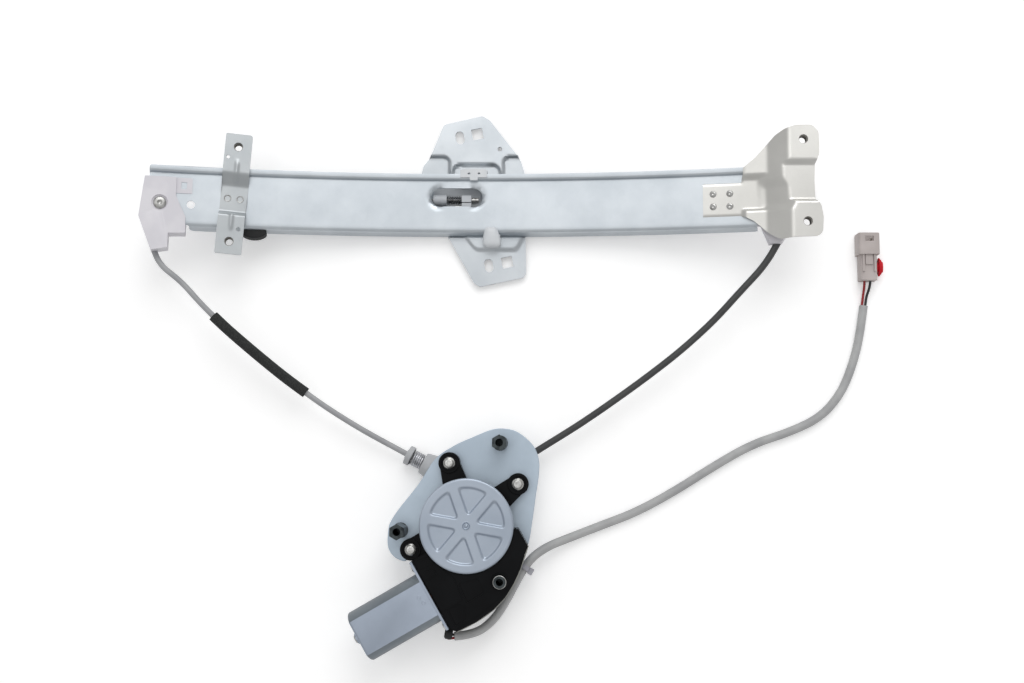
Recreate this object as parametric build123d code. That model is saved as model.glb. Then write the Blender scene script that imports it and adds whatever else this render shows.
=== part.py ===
from build123d import *
from math import acos, asin, atan2, cos, degrees, hypot, pi, radians, sin, tan
import os

# Cable window regulator, laid flat with its door side up.
# Millimetres. The origin is on the drum's axis, in the plane the unit lies on. +X runs along the
# rail towards the end bracket, +Y from the motor to the rail, +Z towards the door panel.

UP = (Align.CENTER, Align.CENTER, Align.MIN)

# guide rail: a pressed channel bent to the curve of the glass
RAIL_RADIUS = 900.0
RAIL_MID_X = 5.0
WEB_Z = 12.0
RAIL_LEFT = -221.8
RAIL_RIGHT = 193.5
RAIL_SHEET = 1.2
WEB_LOW_Y = 206.5
WEB_TOP_Y = 243.4
LIP_STEP = 0.9
LIP_RISE = 3.0
LIP_WIDTH = 2.9
FLANGE_DROP = 9.0
FLANGE_LEAN = 1.4
FLANGE_LEFT = -196.0
SLOT_LEFT = -28.8
SLOT_RIGHT = 8.1
SLOT_LOW_Y = 224.3
SLOT_TOP_Y = 237.5
RAIL_HOLE_X = -195.1
RAIL_HOLE_Y = 220.7
RAIL_HOLE_RADIUS = 2.8
CLEARANCE = 0.3
TOUCH_GAP = 0.05

# cables, their conduits and the way they leave the rail
CABLE_RADIUS = 0.75
CABLE_DEPTH = 6.5
LEFT_CABLE_Y = 230.5
RIGHT_CABLE_Y = 225.1
CHANNEL_RADIUS = 1.3
LEFT_CONDUIT_RADIUS = 2.0
RIGHT_CONDUIT_RADIUS = 2.4
CONDUIT_BORE_RADIUS = 1.0
SLEEVE_RADIUS = 3.7
CONDUIT_FIT = 0.05

# left cable guide
LEFT_BOSS_X = -215.4
LEFT_BOSS_Y = 221.0
LEFT_EXIT_HEADING = -78.5
LEFT_MOUTH_Y = 190.5
LEFT_SOCKET_DEPTH = 12.0
GUIDE_FRONT = 3.0
GUIDE_BACK = 11.0
GUIDE_RIGHT_X = -199.0
GUIDE_SEAT_GAP = 0.28
GUIDE_RECESS_RADIUS = 5.5
GUIDE_RECESS_DEPTH = 1.2
SNAP_TAB_SIZE = 11.0
SNAP_TAB_X = -199.3
SNAP_TAB_Y = 233.9
RIVET_SHANK_RADIUS = 2.0
RIVET_HEAD_RADIUS = 4.4
RIVET_HEAD_HEIGHT = 1.5

# right cable guide
RIGHT_GUIDE_LEFT_X = 165.0
RIGHT_GUIDE_RIGHT_X = 224.0
RIGHT_GUIDE_TOP_Y = 234.0
RIGHT_TURN_RADIUS = 14.0
RIGHT_EXIT_HEADING = -119.0
RIGHT_MOUTH_X = 212.1
RIGHT_MOUTH_Y = 194.0
RIGHT_MOUTH_WIDTH = 11.6
RIGHT_SOCKET_DEPTH = 7.5
RIGHT_GUIDE_BACK = 8.4
CARRIER_PASS_DEPTH = 9.9

# end bracket
BRACKET_SHEET = 1.8
TAB_LEFT = 163.1
TAB_RIGHT = 191.7
TAB_LOW_Y = 212.9
TAB_TOP_Y = 237.4
WALL_LEFT = 197.5
WALL_RIGHT = 216.0
END_FLANGE_Z = 50.0
END_RECESS = 3.0
TAB_RIVET_RADIUS = 2.4
TAB_RIVET_SHANK = 1.6
TAB_RIVET_XS = (170.3, 181.6)
TAB_RIVET_YS = (220.6, 229.6)
TAB_RIVET_HEIGHT = 0.9

END_NUT_PLACES = ((228.9, 263.4), (231.0, 206.5))
END_RIGHT = 238.2
RECESS_Y = (222.6, 247.2)
RECESS_RAMP = 2.6

# cross bracket
CROSS_X = -166.5
CROSS_Y = 226.0
CROSS_LEAN = -4.0
CROSS_WIDTH = 18.4
CROSS_RISE = 6.0
CROSS_SHEET = 1.8
CROSS_TOP = 45.2
CROSS_LOW = -40.2
CROSS_UPPER_STEP = (9.2, 17.6)
CROSS_LOWER_STEP = (-9.4, -12.6)
CROSS_NUT_OFFSETS = (36.0, -31.4)
CROSS_RIVET_SPREAD = 4.3

# threaded fasteners, M6
THREAD_RADIUS = 2.5
NUT_HOLE_RADIUS = 3.2
NUT_FLATS = 10.0
NUT_HEIGHT = 5.0

# rubber stop on the rail
STOP_LEFT = -160.5
STOP_RIGHT = -145.0
STOP_LOW_Y = 199.2
STOP_TOP_Y = 213.0
STOP_HEIGHT = 9.5

# glass carrier
CARRIER_SHEET = 1.5
EAR_RISE = 3.0
CARRIER_RIGHT = 38.2
CARRIER_UPPER_LEFT = -36.9
CARRIER_LOWER_LEFT = -17.0
BAND_TOP_Y = 250.5
BAND_LOW_Y = 203.5
PAD_TOP_Y = 262.2
LEFT_PAD_EDGE = -17.2
RIGHT_PAD_EDGE = 23.4
PAD_RADIUS = 3.0
WELL_LEFT = -13.2
WELL_RIGHT = 19.4
WELL_TOP_Y = 256.5
WELL_RADIUS = 5.0
BOSS_RISE = 1.8
BOSS_LOW_Y = 194.6
BOSS_LEFT = -2.0
BOSS_RIGHT = 35.2
BOSS_SLANTS = (7.6, 4.6)
BOSS_RADIUS = 3.0
SLOT_HALF_WIDTH = 3.1
SLOT_LENGTH = 9.6
SQUARE_HOLE = 8.0
EAR_LEAN = 12.0
CARRIER_SLOTS = ((-9.0, 276.8), (12.5, 183.0))
CARRIER_SQUARES = ((3.6, 279.6), (25.7, 185.5))
SHOE_LEFT = -7.7
SHOE_RIGHT = 11.5
SHOE_GAP = 0.4
SHOE_FRONT = 2.6
SHOE_TOP_Y = 251.9
SHOE_LOW_Y = 242.6
NOSE_LEFT = -0.9
NOSE_RIGHT = 4.8
HOOK_LEFT = 8.6
HOOK_RIGHT = 21.4
HOOK_LOW_Y = 194.5
HOOK_TOP_Y = 209.1

# cable anchor on the carrier
ANCHOR_LEFT = -27.5
ANCHOR_RIGHT = 6.5
ANCHOR_BLOCK_HEIGHT = 4.7
FERRULE_RADIUS = 1.7
FERRULE_LENGTH = 5.0
ANCHOR_PEGS = ((-21.0, 220.0), (0.0, 219.5), (-12.0, 236.5))
PEG_RADIUS = 2.0
ANCHOR_BASE = 2.2
BLOCK_LEFT = -7.0
BLOCK_RIGHT = -0.2
BARREL_RIGHT = -18.0
BARREL_RADIUS = 3.9
ANCHOR_COIL_RADIUS = 2.3
ANCHOR_WIRE_RADIUS = 0.4
ANCHOR_COIL_TURNS = 6

# stack on the drum's axis
PLATE_Z = 20.0
PLATE_SHEET = 2.0
SHAFT_RADIUS = 4.0
SHAFT_FIT = 0.04
SHAFT_LOW_Z = 2.4
HUB_BOSS_RADIUS = 6.6
HUB_BOSS_TOP = 8.6
SHAFT_TOP_Z = 41.6
DRUM_WIND_RADIUS = 22.0
DRUM_LOW_Z = 4.0
DRUM_TOP_Z = 16.6
DRUM_FLANGE_RADIUS = 24.4
DRUM_FLANGE = 1.4
LEFT_WIND_Z = 7.0
RIGHT_WIND_Z = 13.0
DRUM_WALL = 2.0
DRUM_CLEARANCE = 1.2
DRUM_RIBS = 6
HOUSING_FLOOR = 1.6
PAYOUT_GAP = 10.0
LEFT_LINE_ANGLE = 152.4
RIGHT_LINE_ANGLE = 27.9
WRAP_TURNS_MORE = 3

# tensioner, by distance along the left cable from where it meets the drum
SEAT_START = 37.0
SEAT_END = 48.4
SEAT_SOCKET_START = 39.0
SPRING_END = 57.2
CAP_RIM = 2.4
CAP_NOSE = 1.0
SEAT_RADIUS = 7.4
SEAT_FOOT_RADIUS = 10.2
SEAT_FLOOR_Z = 0.2
CAP_RADIUS = 7.6
CAP_NOSE_RADIUS = 3.4
TENSION_COIL_RADIUS = 4.9
TENSION_WIRE_RADIUS = 0.75
TENSION_TURNS = 5.0
LEFT_PORT_Z = 8.0
RIGHT_PORT_Z = 12.0
RIGHT_PORT_START = 22.0
RIGHT_PORT_END = 50.0
PORT_RADIUS = 5.0

# gear motor
WORM_ANGLE = 30.0
WORM_Z = 33.0
CENTRE_DISTANCE = 29.2
GEAR_MODULE = 0.75
WHEEL_TEETH = 67
WHEEL_FACE = 8.0
TOOTH_ADDENDUM = 0.6
TOOTH_DEDENDUM = 0.85
FLANK_ANGLE = 20.0
WHEEL_TOOTH_SHARE = 0.36
WORM_TOOTH_SHARE = 0.30
WORM_START = -14.0
WORM_END = 14.0
HOUSING_BASE_Z = PLATE_Z + PLATE_SHEET
HOUSING_TOP_Z = 43.8
POT_WALL = 3.2
POT_WHEEL_ROOM = 1.675
POT_BORE_RADIUS = WHEEL_TEETH * GEAR_MODULE / 2 + TOOTH_ADDENDUM + POT_WHEEL_ROOM
POT_RADIUS = POT_BORE_RADIUS + POT_WALL
SEAL_INSET = 0.4
POT_FLOOR = 2.4
POT_TOP = 43.0
BOX_TOP = 41.5
TUNNEL_RADIUS = 6.4
END_BUSH_START = 15.0
THRUST_PAD_START = 21.05
THRUST_PAD_LENGTH = 2.0
THRUST_PAD_RADIUS = 3.0
WHEEL_BORE = 13.0
DAMPER_INNER = 8.6
HUB_LOW_Z = 24.7
HUB_TOP_Z = 38.0
COVER_SHEET = 1.0
COVER_FIT = 0.2
COVER_RADIUS = POT_RADIUS + COVER_SHEET + COVER_FIT
COVER_RIM = 2.4
LUG_RADIUS = 7.4
LUG_HEIGHT = 9.5
SCREW_RADIUS = 2.5
SCREW_HEAD_RADIUS = 4.3
SCREW_HEAD_HEIGHT = 3.2
SCREW_FLANGE_HEIGHT = 1.0
SCREW_SOCKET_RADIUS = 2.1
LUG_PLACES = ((-12.7, 41.9), (34.4, 27.8), (-38.3, -16.8))
STANDOFF_PLACES = ((21.9, 55.8), (-46.5, -4.2), (22.6, -36.9))
STANDOFF_TOP_Z = 46.5
STANDOFF_FLATS = 9.6
STANDOFF_TUBE_RADIUS = 4.4
STANDOFF_COLLAR_RADIUS = 6.6
STANDOFF_COLLAR = 1.2

# motor, by distance along the worm's axis from the point beside the wheel
FLANGE_FACE = -45.0
FLANGE_SHEET = 1.6
FLANGE_HEIGHT = 25.0
CAN_END = -99.4
CAN_RADIUS = 17.8
CAN_FLATS = 25.6
CAN_WALL = 1.8
NUB_RADIUS = 3.9
NUB_LENGTH = 2.6
SPINDLE_RADIUS = 2.5
CORE_RADIUS = 10.4
CORE_START = -86.0
CORE_END = -61.0
CORE_SLOTS = 8
CORE_SLOT_WIDTH = 2.6
CORE_SLOT_FLOOR = 5.6
COIL_RADIUS = 9.4
COIL_LENGTH = 5.0
COMMUTATOR_RADIUS = 5.0
COMMUTATOR_START = -49.0
COMMUTATOR_END = -37.0
SPINDLE_START = -100.6
SPINDLE_END = 20.8
MAGNET_THICKNESS = 3.6
MAGNET_ANGLE = 80.0
MAGNET_START = -90.0
MAGNET_END = -58.0
REAR_BUSH_RADIUS = 3.4
BUSH_RADIUS = 5.0
BUSH_LENGTH = 6.0
FRONT_BUSH_START = -33.0
BRUSH_AXIS = -41.0
BRUSH_LENGTH = 5.6
BRUSH_WIDTH = 3.6
BRUSH_SPRING_RADIUS = 1.4
BRUSH_SPRING_WIRE = 0.3
BRUSH_SPRING_TURNS = 4
CAVITY_HALF_WIDTH = 15.0
CAVITY_HALF_HEIGHT = 9.5
CAN_SCREW_OFFSET = 22.0
FLANGE_EDGE = 3.5
CAN_SCREW_RADIUS = 1.9

# harness
CORD_RADIUS = 3.0
CORD_FLOOR = 0.1
WIRE_RADIUS = 0.9
BOOT_RADIUS = 3.4
BOOT_LENGTH = 6.0
LEAD_LENGTH = 3.0
TIE_BAND = 2.4
TIE_THICKNESS = 1.0
TIE_REACH = 5.6
TIE_EAR = 2.4
CONNECTOR_X = 282.2
CONNECTOR_LOW_Y = 172.0
CONNECTOR_STEP_Y = 190.2
CONNECTOR_TOP_Y = 205.6
CONNECTOR_LOWER_WIDTH = 11.6
CONNECTOR_UPPER_WIDTH = 14.8
CONNECTOR_LOWER_DEPTH = 11.0
CONNECTOR_UPPER_DEPTH = 13.6
CONNECTOR_BASE_Z = 0.2
CONNECTOR_WALL = 1.4
BLADE_WIDTH = 2.2
BLADE_THICKNESS = 0.8

CABLE_Z = WEB_Z - CABLE_DEPTH
ARC_AXIS = Axis((RAIL_MID_X, 0, WEB_Z + RAIL_RADIUS), (0, -1, 0))


def slab(points, low, height):
    """A flat-bottomed block of a plan outline."""
    return extrude(Plane.XY.offset(low) * make_face(Polyline(*points, close=True)), height)


def block(low, high):
    """A box between two corners."""
    size = [b - a for a, b in zip(low, high)]
    middle = [(a + b) / 2 for a, b in zip(low, high)]
    return Pos(*middle) * Box(*size)


def post(x, y, low, radius, height):
    return Pos(x, y, low) * Cylinder(radius, height, align=UP)


def rounded(shape, radius, axis=Axis.Z):
    """The shape with its edges along an axis rounded."""
    return fillet(shape.edges().filter_by(axis), radius)


def swing(x):
    """How far along the rail's curve a place x is, in degrees."""
    return degrees(asin((x - RAIL_MID_X) / RAIL_RADIUS))


def on_rail(shape, x):
    """A shape made over the rail's lowest point, moved along the curve to x."""
    return shape.rotate(ARC_AXIS, swing(x))


def rail_point(x, y, out):
    """The place at x along the rail, out from the front of its web."""
    reach = RAIL_RADIUS - out
    turn = asin((x - RAIL_MID_X) / RAIL_RADIUS)
    return (RAIL_MID_X + reach * sin(turn), y, WEB_Z + RAIL_RADIUS - reach * cos(turn))


def along_rail(face, left, right):
    """A section at the rail's lowest point, carried along the curve from left to right."""
    start = face.rotate(ARC_AXIS, swing(left))
    return revolve(start, ARC_AXIS, swing(right) - swing(left))


def sheet_section(points, thickness):
    """The outline of bent sheet: a bend line and the same line set back by the thickness."""
    back = []
    for i, (y, z) in enumerate(points):
        normals = []
        for a, b in ((i - 1, i), (i, i + 1)):
            if a >= 0 and b < len(points):
                dy, dz = points[b][0] - points[a][0], points[b][1] - points[a][1]
                length = hypot(dy, dz)
                normals.append((dz / length, -dy / length))
        ny, nz = (sum(n[k] for n in normals) / len(normals) for k in (0, 1))
        scale = thickness / (ny * ny + nz * nz)
        back.append((y + ny * scale, z + nz * scale))
    return points + back[::-1]


def yz_face(points, x):
    return make_face(Polyline(*[(x, y, z) for y, z in points], close=True))


def panel(points, thickness):
    """A flat panel of sheet below the given outline."""
    return extrude(make_face(Polyline(*points, close=True)), thickness, dir=(0, 0, -1))


def bend_radii(points):
    """Arcs as large as their two runs allow."""
    vectors = [Vector(*p) for p in points]
    radii = []
    for a, b, c in zip(vectors, vectors[1:], vectors[2:]):
        run = min((b - a).length, (c - b).length)
        turn = radians((b - a).get_angle(c - b))
        radii.append(0.45 * run / tan(turn / 2))
    return radii


def tube(points, radii, radius, bore=0.0):
    """A round tube along straight runs joined by tangent arcs."""
    path = FilletPolyline(*points, radius=radii)
    section = Circle(radius)
    if bore:
        section -= Circle(bore)
    return sweep(Plane(origin=path @ 0, z_dir=path % 0) * section, path=path)


def part_of_route(points, radii, first, last):
    """The stretch of a route from the middle of one run to the middle of another."""
    middle = [tuple((p + q) / 2 for p, q in zip(points[i], points[i + 1])) for i in (first, last)]
    return [middle[0], *points[first + 1:last + 1], middle[1]], radii[first:last]


def polar(radius, angle, z=0.0):
    return (radius * cos(radians(angle)), radius * sin(radians(angle)), z)


# ---- guide rail ----

def make_guide_rail():
    lip_top = WEB_TOP_Y + LIP_STEP + LIP_WIDTH
    bend = [
        (lip_top, WEB_Z + LIP_RISE),
        (WEB_TOP_Y + LIP_STEP, WEB_Z + LIP_RISE),
        (WEB_TOP_Y, WEB_Z),
        (WEB_LOW_Y, WEB_Z),
    ]
    flange = bend[2:] + [(WEB_LOW_Y - FLANGE_LEAN, WEB_Z - FLANGE_DROP)]
    flat_end = along_rail(yz_face(sheet_section(bend, -RAIL_SHEET), RAIL_MID_X), RAIL_LEFT, FLANGE_LEFT)
    channel_face = yz_face(sheet_section(bend[:2] + flange, -RAIL_SHEET), RAIL_MID_X)
    rail = flat_end + along_rail(channel_face, FLANGE_LEFT, RAIL_RIGHT)
    slot = SlotOverall(SLOT_RIGHT - SLOT_LEFT, SLOT_TOP_Y - SLOT_LOW_Y)
    middle = ((SLOT_LEFT + SLOT_RIGHT) / 2, (SLOT_LOW_Y + SLOT_TOP_Y) / 2)
    rail -= extrude(Pos(middle[0], middle[1], WEB_Z - 4) * slot, 8)
    for x, y, radius in rail_holes():
        rail -= on_rail(post(RAIL_MID_X, y, WEB_Z - 4, radius, 8), x)
    return rail


def rail_holes():
    """Places and radii of the round holes in the web."""
    fit = RIVET_SHANK_RADIUS
    holes = [(RAIL_HOLE_X, RAIL_HOLE_Y, RAIL_HOLE_RADIUS), (LEFT_BOSS_X, LEFT_BOSS_Y, fit)]
    holes += [(x, y, TAB_RIVET_SHANK) for x in TAB_RIVET_XS for y in TAB_RIVET_YS]
    holes += [(x, y, TAB_RIVET_SHANK) for x, y in cross_rivet_places()]
    return holes


# ---- end bracket ----

def tab_height(x):
    """Front face of the end bracket's tab, laid on the rail's curve."""
    at_left = rail_point(TAB_LEFT, 0, BRACKET_SHEET)
    at_right = rail_point(TAB_RIGHT, 0, BRACKET_SHEET)
    slope = (at_right[2] - at_left[2]) / (at_right[0] - at_left[0])
    return at_left[2] + slope * (x - at_left[0])


def wall_height(x):
    share = (x - WALL_LEFT) / (WALL_RIGHT - WALL_LEFT)
    return tab_height(WALL_LEFT) + share * (END_FLANGE_Z - tab_height(WALL_LEFT))


def make_end_bracket():
    recess_z = END_FLANGE_Z - END_RECESS
    start = WALL_LEFT + (WALL_RIGHT - WALL_LEFT) * (
        (recess_z - tab_height(WALL_LEFT)) / (END_FLANGE_Z - tab_height(WALL_LEFT))
    )
    (recess_low, recess_top), ramp, right = RECESS_Y, RECESS_RAMP, END_RIGHT
    gusset = [(TAB_RIGHT, TAB_TOP_Y), (190.2, 249.0), (WALL_LEFT, 253.0), (WALL_LEFT, 204.8)]
    gusset += [(192.4, 209.0), (188.6, 214.4), (TAB_RIGHT, 214.4)]
    wall = [(WALL_LEFT, 204.8), (WALL_LEFT, 253.0), (210.7, 267.6), (WALL_RIGHT, 270.8)]
    wall += [(WALL_RIGHT, recess_top + ramp), (start, recess_top), (start, recess_low)]
    wall += [(WALL_RIGHT, recess_low - ramp), (WALL_RIGHT, 195.6), (212.0, 196.2), (204.3, 199.6)]
    upper = [(WALL_RIGHT, 270.8), (223.6, 273.3), (235.0, 273.4), (239.2, 268.8), (239.4, 257.0)]
    upper += [(right, recess_top + ramp), (WALL_RIGHT, recess_top + ramp)]
    lower = [(WALL_RIGHT, recess_low - ramp), (right + 1.4, recess_low - ramp), (241.8, 209.4)]
    lower += [(241.0, 197.8), (220.7, 196.2), (WALL_RIGHT, 195.6)]
    middle = [(start, recess_low), (start, recess_top), (right, recess_top), (right, recess_low)]
    tab_section = [(TAB_LOW_Y, WEB_Z), (TAB_TOP_Y, WEB_Z)]
    tab_section += [(y, z + BRACKET_SHEET) for y, z in tab_section[::-1]]
    bracket = along_rail(yz_face(tab_section, RAIL_MID_X), TAB_LEFT, TAB_RIGHT)
    for outline, height in ((gusset, tab_height), (wall, wall_height)):
        bracket += panel([(x, y, height(x)) for x, y in outline], BRACKET_SHEET)
    for outline, z in ((upper, END_FLANGE_Z), (lower, END_FLANGE_Z), (middle, recess_z)):
        bracket += panel([(x, y, z) for x, y in outline], BRACKET_SHEET)
    for edge, far in ((recess_top, recess_top + ramp), (recess_low, recess_low - ramp)):
        side = [(start, edge, recess_z), (WALL_RIGHT, far, END_FLANGE_Z)]
        side += [(right, far, END_FLANGE_Z), (right, edge, recess_z)]
        bracket += panel(side, BRACKET_SHEET)
    for x, y in END_NUT_PLACES:
        bracket -= post(x, y, END_FLANGE_Z - 6, NUT_HOLE_RADIUS, 12)
    for x in TAB_RIVET_XS:
        for y in TAB_RIVET_YS:
            bracket -= on_rail(post(RAIL_MID_X, y, WEB_Z - 2, TAB_RIVET_SHANK, 8), x)
    return bracket


def make_end_bracket_rivets():
    back = WEB_Z - RAIL_SHEET - RIGHT_GUIDE_BACK + 1.0
    rivet = post(RAIL_MID_X, 0, back, TAB_RIVET_SHANK, WEB_Z + BRACKET_SHEET - back)
    rivet += post(RAIL_MID_X, 0, WEB_Z + BRACKET_SHEET, TAB_RIVET_RADIUS, TAB_RIVET_HEIGHT)
    return [on_rail(Pos(0, y, 0) * rivet, x) for x in TAB_RIVET_XS for y in TAB_RIVET_YS]


# ---- cross bracket ----

def place_cross(shape):
    """A shape made over the rail's lowest point and Y = 0, moved to the cross bracket."""
    return on_rail(Pos(0, CROSS_Y, 0) * shape.rotate(Axis((RAIL_MID_X, 0, 0), (0, 0, 1)), CROSS_LEAN), CROSS_X)


def make_cross_bracket():
    low, high = WEB_Z + TOUCH_GAP, WEB_Z + CROSS_RISE
    bend = [(CROSS_LOW, high), (CROSS_LOWER_STEP[1], high), (CROSS_LOWER_STEP[0], low)]
    bend += [(CROSS_UPPER_STEP[0], low), (CROSS_UPPER_STEP[1], high), (CROSS_TOP, high)]
    left = RAIL_MID_X - CROSS_WIDTH / 2
    strap = extrude(yz_face(sheet_section(bend, -CROSS_SHEET), left), CROSS_WIDTH, dir=(1, 0, 0))
    for v in CROSS_NUT_OFFSETS:
        strap -= post(RAIL_MID_X, v, WEB_Z, NUT_HOLE_RADIUS, CROSS_RISE + 4)
    for side in (-1, 1):
        strap -= post(RAIL_MID_X + side * CROSS_RIVET_SPREAD, 0, WEB_Z - 2, TAB_RIVET_SHANK, 8)
    strap -= post(RAIL_MID_X - 6.3, 28.4, WEB_Z, 1.3, CROSS_RISE + 4)
    strap -= post(RAIL_MID_X + 5.6, -22.4, WEB_Z, 1.5, CROSS_RISE + 4)
    return place_cross(strap)


def cross_rivet_places():
    lean, slope = radians(CROSS_LEAN), radians(swing(CROSS_X))
    offsets = (-CROSS_RIVET_SPREAD, CROSS_RIVET_SPREAD)
    return [(CROSS_X + u * cos(lean) * cos(slope), CROSS_Y + u * sin(lean)) for u in offsets]


def make_cross_bracket_rivets():
    tail = WEB_Z - RAIL_SHEET - TOUCH_GAP - TAB_RIVET_HEIGHT
    rivet = post(0, 0, tail, TAB_RIVET_RADIUS, TAB_RIVET_HEIGHT)
    rivet += post(0, 0, tail, TAB_RIVET_SHANK, WEB_Z + TOUCH_GAP + CROSS_SHEET - tail)
    rivet += post(0, 0, WEB_Z + TOUCH_GAP + CROSS_SHEET, TAB_RIVET_RADIUS, TAB_RIVET_HEIGHT)
    sides = (-CROSS_RIVET_SPREAD, CROSS_RIVET_SPREAD)
    return [place_cross(Pos(RAIL_MID_X + u, 0, 0) * rivet) for u in sides]


# ---- weld nuts ----

def nut(x, y, top):
    """A weld nut below a flange whose back face is at top."""
    body = Pos(x, y, top - NUT_HEIGHT) * extrude(RegularPolygon(NUT_FLATS / 2, 6, major_radius=False), NUT_HEIGHT)
    return body - post(x, y, top - NUT_HEIGHT - 1, THREAD_RADIUS, NUT_HEIGHT + 2)


def make_weld_nuts():
    nuts = [place_cross(nut(RAIL_MID_X, v, WEB_Z + CROSS_RISE)) for v in CROSS_NUT_OFFSETS]
    nuts += [nut(x, y, END_FLANGE_Z - BRACKET_SHEET) for x, y in END_NUT_PLACES]
    return nuts


# ---- left cable guide ----

LEFT_GUIDE_OUTLINE = (
    (-225.9, 239.4), (-227.4, 229.0), (-229.4, 211.1), (-220.6, 187.6), (-209.5, 189.8),
    (-209.3, 199.9), (-197.9, 200.4), (-197.9, 211.8), (-204.7, 226.4), (-204.6, 239.4),
)


def left_exit_line():
    """Where the left cable leaves its boss, and its direction along the rail's surface."""
    radius = LEFT_CABLE_Y - LEFT_BOSS_Y
    heading = radians(LEFT_EXIT_HEADING)
    leave = (LEFT_BOSS_X + radius * sin(heading), LEFT_BOSS_Y - radius * cos(heading))
    return leave, (cos(heading), sin(heading))


def left_exit_point(y):
    """The place on the left cable's way out at a given height, in the rail's own surface."""
    (x0, y0), (dx, dy) = left_exit_line()
    return x0 + (y - y0) * dx / dy


def left_corner():
    return left_exit_point(LEFT_CABLE_Y), LEFT_CABLE_Y


def make_left_cable_guide():
    x0 = RAIL_MID_X - LEFT_BOSS_X
    outline = [(x + x0, y) for x, y in LEFT_GUIDE_OUTLINE]
    front = slab(outline, WEB_Z + GUIDE_SEAT_GAP, GUIDE_FRONT)
    back_top = WEB_Z - RAIL_SHEET - TOUCH_GAP
    back = slab(outline, back_top - GUIDE_BACK, GUIDE_BACK)
    past_end = block(
        (outline[2][0] - 1, outline[3][1] - 1, back_top - 1),
        (RAIL_MID_X + RAIL_LEFT - LEFT_BOSS_X - 0.6, outline[0][1] + 1, WEB_Z + 1))
    below_web = block(
        (outline[2][0] - 1, outline[3][1] - 1, back_top - 1),
        (outline[6][0] + 1, WEB_LOW_Y - CLEARANCE, WEB_Z + 1))
    join = slab(outline, back_top - 1, RAIL_SHEET + 2) & (past_end + below_web)
    tab_x, half = SNAP_TAB_X + x0, SNAP_TAB_SIZE / 2
    tab = block((tab_x - half, SNAP_TAB_Y - half, WEB_Z + GUIDE_SEAT_GAP),
                (tab_x + half, SNAP_TAB_Y + half, WEB_Z + GUIDE_SEAT_GAP + GUIDE_FRONT / 2))
    guide = front + back + join + tab
    guide -= block((tab_x - 2, SNAP_TAB_Y - 2.4, WEB_Z), (tab_x + 1.8, SNAP_TAB_Y + 2.4, WEB_Z + 4))
    top = WEB_Z + GUIDE_SEAT_GAP + GUIDE_FRONT
    guide -= post(RAIL_MID_X, LEFT_BOSS_Y, top - GUIDE_RECESS_DEPTH, GUIDE_RECESS_RADIUS, 4)
    guide -= post(RAIL_MID_X, LEFT_BOSS_Y, back_top - GUIDE_BACK - 1, RIVET_SHANK_RADIUS, 30)
    return on_rail(guide, LEFT_BOSS_X) - left_guide_channel()


def left_guide_channel():
    """The space that the cable and its conduit take up in the left guide."""
    out = -CABLE_DEPTH
    corner = left_corner()
    radius = LEFT_CABLE_Y - LEFT_BOSS_Y
    socket_y = LEFT_MOUTH_Y + LEFT_SOCKET_DEPTH
    points = [
        rail_point(GUIDE_RIGHT_X + 4, LEFT_CABLE_Y, out),
        rail_point(*corner, out),
        rail_point(left_exit_point(socket_y), socket_y, out),
    ]
    way = tube(points, [radius], CHANNEL_RADIUS)
    mouth = [rail_point(left_exit_point(y), y, out) for y in (socket_y, LEFT_MOUTH_Y - 8)]
    line = Line(*mouth)
    socket = sweep(Plane(origin=line @ 0, z_dir=line % 0) * Circle(LEFT_CONDUIT_RADIUS + CONDUIT_FIT), path=line)
    return way + socket


def make_guide_rivets():
    back = WEB_Z - RAIL_SHEET - TOUCH_GAP - GUIDE_BACK
    top = WEB_Z + GUIDE_SEAT_GAP + GUIDE_FRONT - GUIDE_RECESS_DEPTH
    rivet = post(RAIL_MID_X, LEFT_BOSS_Y, back - RIVET_HEAD_HEIGHT, RIVET_HEAD_RADIUS, RIVET_HEAD_HEIGHT)
    rivet += post(RAIL_MID_X, LEFT_BOSS_Y, back, RIVET_SHANK_RADIUS, top - back)
    rivet += post(RAIL_MID_X, LEFT_BOSS_Y, top, RIVET_HEAD_RADIUS, RIVET_HEAD_HEIGHT)
    rivet -= post(RAIL_MID_X, LEFT_BOSS_Y, top, 1.0, RIVET_HEAD_HEIGHT)
    return on_rail(rivet, LEFT_BOSS_X)


# ---- right cable guide ----

def right_exit_point(y):
    """The place on the right cable's way out at a given height, in the rail's own surface."""
    heading = radians(RIGHT_EXIT_HEADING)
    return RIGHT_MOUTH_X + (y - RIGHT_MOUTH_Y) * cos(heading) / sin(heading)


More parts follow.
